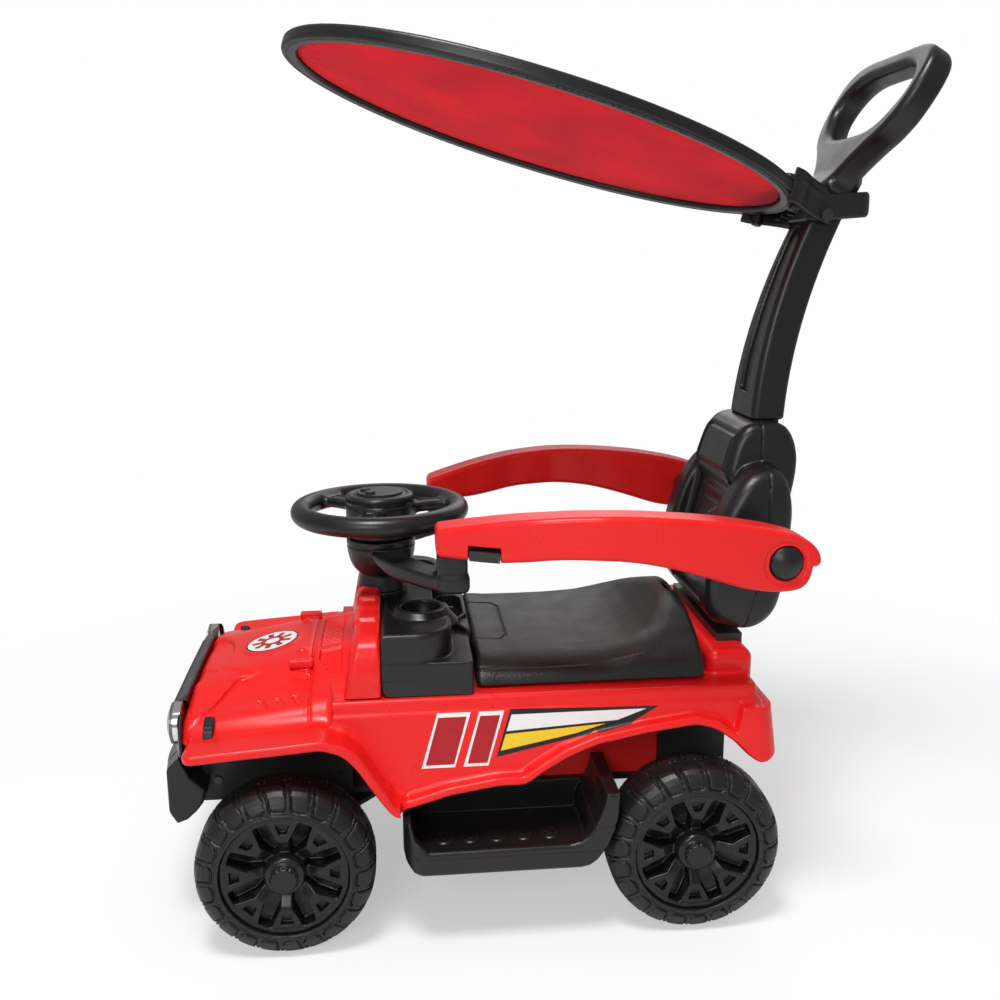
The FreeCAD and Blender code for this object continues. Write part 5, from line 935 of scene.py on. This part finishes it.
def clamp_form(x, y, z):
    """Collar round the pole with a rounded strap behind it."""
    mid = pole_mid(CLAMP_Z)
    rise = z - 0.06 * (mid - x)
    rear = mid - CLAMP_REAR - x
    strap = rmax(rmax(np.abs(y) - 33, x - mid - 28, 9), rear + 0.012 * y * y, 8)
    form = rmax(strap, rmax(slab(rise, 680, 705), rear, 12), 3)
    off = (x - pole_mid(z)) * POLE_SCALE
    share = (z - POLE_FOOT_Z) / POLE_H
    pole = rmax(np.abs(off) - 16.6 - 0.7 * share, np.abs(y) - 39.3 + 17 * share, 7)
    return less(form, pole, 0.5)


# Wheels, about the Y axis at the origin, with the outer face towards positive Y

LUGS, SPOKES = 22, 8
WHEEL_R, WHEEL_Y, WHEELBASE = 85.0, 164.0, 392.0
COVER_R, COVER_HOLE_R, COVER_BACK = 60.2, 19.6, 4.1
WHEEL_RIM = [
    (5.5, -30), (19, -30), (19, -4), (54.5, -4), (54.5, -26.5), (57, -29.5), (65, -30), (70, -29),
    (75.5, -26.5), (80, -23.2), (83, -19), (84.6, -13.5), (85, -7), (85, 7), (84.6, 13.5),
    (83, 19), (80, 23.2), (75.5, 26.5), (70, 29), (65, 30), (61, 30), (60.5, 29), (60.5, 4),
    (19, 4), (19, 10), (5.5, 10)]


def tyre_form(x, y, z):
    """Hollow wheel whose tyre has bent lugs, set off by half a pitch on its two sides."""
    r = np.hypot(x, z)
    ay = np.abs(y)
    turn = np.arctan2(z, x) * LUGS / (2 * math.pi) + np.where(y > 0, 0.25, -0.25)
    arc = ((turn % 1.0) - 0.5) * 2 * math.pi * WHEEL_R / LUGS
    reach = 8.5 + 0.9 * (WHEEL_R - r) + np.minimum(ay, 12)
    arc = arc + 3.0 * np.sin((reach - 6) / 17 * math.pi)
    lug = np.hypot(np.maximum(np.abs(arc) - 4.6, 0), np.maximum(np.abs(reach - 21.5) - 10, 0)) - 4.0
    cut = bump((lug - 1.4) / 1.0) * ramp((r - 62) / 3)
    form = rmax(poly(r, y, WHEEL_RIM), r - WHEEL_R, 1.0)
    line = 0.9 * bump((r - 64) / 0.8) * (ay > 22) + 0.8 * bump((ay - 4) / 0.9) * (r > 75)
    return form + 2.2 * cut + line


def cover_form(x, y, z):
    """Wheel cover with forked spokes in a ring, and a notched cap on the cone in its middle."""
    r = np.hypot(x, z)
    turn = np.arctan2(z, x)
    pitch = 2 * math.pi / SPOKES
    fold = ((turn + pitch / 2) % pitch) - pitch / 2
    u, v = r * np.cos(fold), np.abs(r * np.sin(fold))
    form = rmax(r - COVER_R, COVER_HOLE_R - r, 0.5)
    form = rmax(form, slab(y, COVER_BACK, 7.5 + 5 * ramp((r - 30) / 26)), 0.8)
    ring = rmax(rmax(r - COVER_R, 55 - r, 1.2), slab(y, COVER_BACK, 26), 1.5)
    form = rmin(form, ring, 2.5)
    half = 5.5 + 11 * np.clip((u - 35) / 21, 0, 1)
    top = 18 + 7.5 * ramp((u - 20) / 17)
    spoke = rmax(rmax(v - half, y - top, 1.6), slab(u, 15, 58.5), 1)
    spoke = np.maximum(np.maximum(spoke, 5 - y), COVER_HOLE_R - r)
    pocket = rmax((v - 3.5 - (u - 42) / 3) * 0.95, slab(u, 42, 51), 1.2)
    pocket = rmax(pocket, top - 6 - y, 1)
    form = rmin(form, less(spoke, pocket, 0.8), 2.0)
    cone = rmax(r - 21.5 + 0.2 * np.maximum(y - 12, 0),
                slab(y, COVER_BACK, 31 - 4.5 * (r / 21) ** 2), 2.0)
    cone = less(cone, np.maximum(r - COVER_HOLE_R, y - 11), 0.5)
    notch = bump((r - 12.6) / 1.1) * (0.5 + 0.5 * np.cos(turn * 16))
    cap = rmax(r - 14 + 0.25 * np.maximum(y - 30, 0), slab(y, 20, 35.8), 2.4)
    cap = cap + 1.3 * notch * (y > 33)
    cap = cap + 0.9 * bump((y - 30.5) / 0.9)
    form = rmin(rmin(form, cone, 1.5), cap, 1.2)
    return less(form, np.maximum(r - 10.5, y - 31), 0.5)


# The pieces

def make(name, field, low, high, step, slot, *nodes, body="car"):
    """One piece, from a field within a box."""
    dress(solid(name, skin(field, low, high, step), FINISHES[slot]), body, slot, *nodes)


def pair(name, field, low, high, step, slot, node, bodies=("car", "car")):
    """The same form on both sides of the car."""
    made = skin(field, low, high, step)
    for side, body in zip(SIDES, bodies):
        piece = solid(f"{name}_{side}", made, FINISHES[slot], side == "right")
        dress(piece, body, slot, f"{node}_{side}")


make("body_moulding", body_form, (-90, -192, 130), (490, 192, 266), 2.0, "body_red", "body_shell")
make("cowl_moulding", cowl_form, (296, -148, 236), (336, 148, 318), 1.5, "body_red", "cowl_panel")
make("steering_moulding", steering_form, (202, -94, 358), (390, 94, 409), 1.3, "trim_black",
     "steering_wheel", body="steering")
make("seat_moulding", seat_form, (-23, -132, 237), (209, 132, 308), 1.7, "seat_black", "seat_lid",
     body="seat_lid")
make("latch_moulding", latch_form, (453, -152, 200), (468, 152, 225), 0.8, "latch_rubber",
     "hood_latches")
for name, field, low, high, step, *nodes in (
        ("console_moulding", console_form, (208, -145, 236), (299, 145, 308), 1.5, "dash_console"),
        ("pod_moulding", pod_form, (204, -64, 259), (246, 64, 283), 1.0, "gear_pod"),
        ("column_moulding", sleeve_form, (256, -40, 295), (336, 40, 362), 1.3, "column_sleeve"),
        ("guard_moulding", guard_form, (211, -134, 324), (340, 134, 374), 1.5, "guard_bracket"),
        ("backrest_moulding", backrest_form, (-132, -160, 266), (-26, 160, 484), 1.7,
         "backrest_front", "backrest_rear"),
        ("bumper_moulding", bumper_form, (466, -131, 107), (518, 131, 181), 1.5, "front_bumper"),
        ("grille_moulding", grille_form, (485, -145, 177), (504, 145, 236), 1.0, "grille_panel"),
        ("handle_moulding", handle_form, (-262, -105, 407), (-70, 105, 850), 1.8, "push_handle"),
        ("canopy_rim", rim_form, from_frame(RIM_LOW) - 4, from_frame(RIM_HIGH) + 4, 1.8,
         "canopy_frame"),
        ("bracket_moulding", bracket_form, (-190, -82, 650), (-70, 82, 755), 1.3, "canopy_bracket"),
        ("clamp_moulding", clamp_form, (-215, -36, 670), (-130, 36, 714), 1.2, "canopy_clamp")):
    make(name, field, low, high, step, "trim_black", *nodes)
pair("armrest_moulding", armrest_form, (-111, 98, 340), (247, 199, 424), 1.6, "body_red",
     "armrest", ("armrest_left", "armrest_right"))
pair("knob_moulding", knob_form, (-91, 187, 354), (-55, 200, 390), 0.8, "trim_black",
     "armrest_knob")
pair("tray_moulding", tray_form, (73, 95, 74), (285, 198, 155), 1.7, "trim_black", "foot_tray")

TYRE_SKIN = skin(tyre_form, (-87, -32, -87), (87, 32, 87), 1.5)
COVER_SKIN = skin(cover_form, (-62, 2, -62), (62, 38, 62), 1.0)
for end, x in (("front", WHEELBASE), ("rear", 0.0)):
    for side, sign in SIDES.items():
        at = (x, sign * WHEEL_Y, WHEEL_R)
        wheel = f"wheel_{end}_{side}"
        for name, made, slot, node in (
                ("tyre", TYRE_SKIN, "tyre_black", wheel),
                ("cover", COVER_SKIN, "wheel_cover_black", f"wheel_cover_{end}_{side}")):
            piece = solid(f"{name}_{end}_{side}", made, FINISHES[slot], sign < 0, at)
            dress(piece, wheel, slot, node)


# Canopy cloth, one sheet stretched in the rim

CLOTH_A, CLOTH_B, CLOTH_T, CLOTH_SAG, CLOTH_W = 246.8, 144.8, 1.2, 5.0, -1.0
RINGS, ROUND, FIRST_RING = 40, 180, 0.03
PUCKER, PUCKERS, PUCKER_FROM, PUCKER_TO = 0.35, 46, 0.82, 0.97


def cloth_rings():
    """Rings of points from the middle of the upper face round the edge to that of the lower."""
    turns = np.arange(ROUND) * 2 * math.pi / ROUND
    shares = np.linspace(FIRST_RING, 1.0, RINGS)
    rings = []
    for face in (1, -1):
        for g in shares[::face]:
            pucker = PUCKER * np.sin(turns * PUCKERS) * ramp((g - PUCKER_FROM) / 0.18)
            pucker = pucker * (1 - ramp((g - PUCKER_TO) / 0.03))
            w = CLOTH_W - CLOTH_SAG * (1 - g * g) + pucker + face * CLOTH_T / 2
            flat = np.stack([CLOTH_A * g * np.cos(turns), CLOTH_B * g * np.sin(turns), w], 1)
            rings.append(flat @ CANOPY_TURN.T * MM + CANOPY_MID)
    return rings


def sheet_mesh(name, rings, finish):
    """Closed mesh from rings of points, with a point in the middle of the first and the last."""
    mesh = bmesh.new()
    rows = [[mesh.verts.new(p) for p in ring] for ring in rings]
    for one, two in zip(rows, rows[1:]):
        for k in range(len(one)):
            n = (k + 1) % len(one)
            mesh.faces.new((one[k], one[n], two[n], two[k]))
    for row, ring in ((rows[0], rings[0]), (rows[-1], rings[-1])):
        tip = mesh.verts.new(np.mean(ring, axis=0))
        for k in range(len(row)):
            mesh.faces.new((tip, row[k], row[(k + 1) % len(row)]))
    made = from_bmesh(name, mesh, finish)
    made.data.shade_smooth()
    return made


canopy = sheet_mesh("canopy_sheet", cloth_rings(), FINISHES["canopy_cloth"])
dress(canopy, "car", "canopy_cloth", "canopy_fabric")


# Printed labels: a cog on the hood and slanted speed bars on both sides

LABEL_LIFT, LABEL_SINK, LAY_STEPS, LAY_SLOPE = 0.25, 0.4, 14, 0.4
ALONG_Y, ALONG_Z = 1, 2
LABEL_FROM_Y, LABEL_FROM_Z = 158.0, 262.0
DISC_R, EDGE_R, DISC_HOLE_R, COG_HOLE_R = 26.0, 27.5, 0.4, 7.5
COG_R, COG_TOOTH, COG_TEETH = 16.5, 4.5, 9
SPEED_BARS = [
    ("edge_one", [(262, 170), (246, 223), (214, 223), (230, 170)], WHITE, 1),
    ("one", [(258, 173), (245, 219), (218, 219), (231, 173)], DARK_RED, 2),
    ("edge_two", [(222, 170), (206, 223), (182, 223), (198, 170)], WHITE, 1),
    ("two", [(218, 173), (205, 219), (186, 219), (199, 173)], DARK_RED, 2),
    ("shadow", [(190, 178), (176, 224), (32, 221), (60, 205)], LABEL_BLACK, 1),
    ("yellow", [(186, 184), (181, 200), (84, 206), (112, 198)], YELLOW, 2),
    ("white", [(180, 203), (175, 219), (44, 219), (72, 209)], WHITE, 2),
]


def on_body(points, way, lift):
    """Points moved along an axis on to the body moulding, and lifted off it."""
    points = points.copy()
    for _ in range(LAY_STEPS):
        points[:, way] -= spread(body_form, points) * np.sign(points[:, way])
    return points + lift * gradient(body_form, points, LAY_SLOPE)


def label(name, rows, way, finish, layer, closed=False):
    """Thin closed label from a grid of points laid on the body, one layer on another."""
    wide = len(rows[0])
    flat = np.array(rows, float).reshape(-1, 3)
    faces = []
    for i in range(0, (len(rows) - 1) * wide, wide):
        for k in range(wide if closed else wide - 1):
            n = (k + 1) % wide
            faces.append((i + k, i + n, i + wide + n, i + wide + k))
    mesh = bmesh.new()
    upper, lower = [[mesh.verts.new(p) for p in in_frame(on_body(flat, way, lift))]
                    for lift in (layer * LABEL_LIFT, -LABEL_SINK)]
    for face in faces:
        mesh.faces.new([upper[n] for n in face])
        mesh.faces.new([lower[n] for n in reversed(face)])
    edges = {edge for face in faces for edge in zip(face, face[1:] + face[:1])}
    for a, b in sorted(edges):
        if (b, a) not in edges:
            mesh.faces.new((upper[b], upper[a], lower[a], lower[b]))
    dress(from_bmesh(name, mesh, finish), "car", "body_red")


def polar(inner, outer, rings, steps=96):
    """Rows of points between two outlines round the emblem's middle, above the hood."""
    turns = np.arange(steps) * 2 * math.pi / steps
    rows = []
    for share in np.linspace(0, 1, rings):
        r = inner(turns) * (1 - share) + outer(turns) * share
        rows.append([(EMBLEM_X + a * math.cos(t), a * math.sin(t), LABEL_FROM_Z)
                     for a, t in zip(r, turns)])
    return rows


def circle(r):
    return lambda turns: np.full(len(turns), r)


def cog(turns):
    return COG_R + COG_TOOTH * np.clip(3 * np.cos(turns * COG_TEETH), -1, 1)


def strip(points, sign, across=10, along=24):
    """Rows of points over a four-cornered area of the tub's side."""
    a, b, c, d = [np.array(p, float) for p in points]
    rows = []
    for s in np.linspace(0, 1, across):
        row = []
        for t in np.linspace(0, 1, along):
            x, z = (a * (1 - t) + b * t) * (1 - s) + (d * (1 - t) + c * t) * s
            row.append((x, sign * LABEL_FROM_Y, z))
        rows.append(row)
    return rows


for name, rows, finish, layer in (
        ("edge", polar(circle(DISC_R), circle(EDGE_R), 3), LABEL_BLACK, 1),
        ("disc", polar(circle(DISC_HOLE_R), circle(DISC_R), 12), WHITE, 1),
        ("cog", polar(circle(COG_HOLE_R), cog, 5, 144), DARK_RED, 2)):
    label(f"emblem_{name}", rows, ALONG_Z, finish, layer, closed=True)
for side, sign in SIDES.items():
    for name, corners, finish, layer in SPEED_BARS:
        label(f"bar_{name}_{side}", strip(corners, sign), ALONG_Y, finish, layer)


# Camera at the photograph's place

YAW, PITCH, ROLL = math.radians(5.59), math.radians(12.66), math.radians(-0.35)
CAMERA_AT, LENS, SENSOR = (280.0, 1124.24, 648.76), 39.50, 36.0
ahead = Vector((-math.sin(YAW) * math.cos(PITCH), -math.cos(YAW) * math.cos(PITCH), -math.sin(PITCH)))
level = Vector((-math.cos(YAW), math.sin(YAW), 0))
upright = level.cross(ahead)
right = level * math.cos(ROLL) + upright * math.sin(ROLL)
over = upright * math.cos(ROLL) - level * math.sin(ROLL)
lens = bpy.data.cameras.new("camera")
lens.lens, lens.sensor_width = LENS, SENSOR
camera = add_object("camera", lens)
turned = Matrix((right, over, -ahead)).transposed().to_4x4()
camera.matrix_world = Matrix.Translation(Vector(in_frame(np.array(CAMERA_AT)))) @ turned
SCENE.camera = camera


# Studio: pale floor, white surround and soft lamps

LAMP_AIM = Vector((0.05, 0.0, 0.3))
LAMPS = (("key", (0.4, 0.8, 2.4), 0.7, 38.0), ("fill", (1.0, 2.6, 1.6), 1.3, 24.0),
         ("back", (-0.6, -2.2, 1.9), 2.0, 13.0))
SURROUND_LIGHT, SURROUND_SEEN = 0.34, 1.0
FLOOR_HALF, FLOOR_NEAR, FLOOR_FAR, FLOOR_GLOW = 6.0, 0.45, 1.15, 0.45
FLOOR_SEEN, FLOOR_BOUNCE = (0.55, 0.55, 0.55, 1), (0.85, 0.85, 0.85, 1)

for name, place, size, power in LAMPS:
    light = bpy.data.lights.new(name, "AREA")
    light.shape, light.size, light.energy = "DISK", size, power
    turned = (Vector(place) - LAMP_AIM).to_track_quat("Z", "Y").to_matrix().to_4x4()
    add_object(name, light).matrix_world = Matrix.Translation(place) @ turned


def any_seen(tree):
    """1 for rays from the camera, straight or through clear pieces."""
    path = wired(tree, "LightPath").outputs
    rays = {0: path["Is Camera Ray"], 1: path["Is Transmission Ray"]}
    return wired(tree, "Math", rays, operation="ADD", use_clamp=True).outputs["Value"]


world = bpy.data.worlds.new("studio")
world.use_nodes = True
SCENE.world = world
sky = world.node_tree
strength = wired(sky, "MapRange", {"Value": any_seen(sky), "To Min": SURROUND_LIGHT,
                                   "To Max": SURROUND_SEEN})
plug(sky.nodes["Background"], {"Color": (1, 1, 1, 1), "Strength": strength.outputs["Result"]})

# Near the car the floor takes shadows, and further out it fades to the white of the surround
paper = bpy.data.materials.new("paper")
paper.use_nodes = True
tree = paper.node_tree
tree.nodes.clear()
place = wired(tree, "TexCoord").outputs["Object"]
reach = wired(tree, "VectorMath", {0: place}, operation="LENGTH").outputs["Value"]
fade = wired(tree, "MapRange", {"Value": reach, "From Min": FLOOR_NEAR, "From Max": FLOOR_FAR},
             interpolation_type="SMOOTHSTEP").outputs["Result"]
matt = wired(tree, "BsdfDiffuse", {"Color": FLOOR_SEEN}).outputs["BSDF"]
glow = wired(tree, "Emission", {"Strength": FLOOR_GLOW}).outputs["Emission"]
near = wired(tree, "AddShader", {0: matt, 1: glow}).outputs["Shader"]
white = wired(tree, "Emission").outputs["Emission"]
seen = wired(tree, "MixShader", {"Fac": fade, 1: near, 2: white}).outputs["Shader"]
bounce = wired(tree, "BsdfDiffuse", {"Color": FLOOR_BOUNCE}).outputs["BSDF"]
surface = wired(tree, "MixShader", {"Fac": any_seen(tree), 1: bounce, 2: seen}).outputs["Shader"]
wired(tree, "OutputMaterial", {"Surface": surface})
floor_mesh = bpy.data.meshes.new("floor")
floor_corners = [(u * FLOOR_HALF, v * FLOOR_HALF, 0) for u, v in ((-1, -1), (1, -1), (1, 1), (-1, 1))]
floor_mesh.from_pydata(floor_corners, [], [(0, 1, 2, 3)])
floor = add_object("floor", floor_mesh, paper)

SCENE.view_settings.view_transform = "Standard"
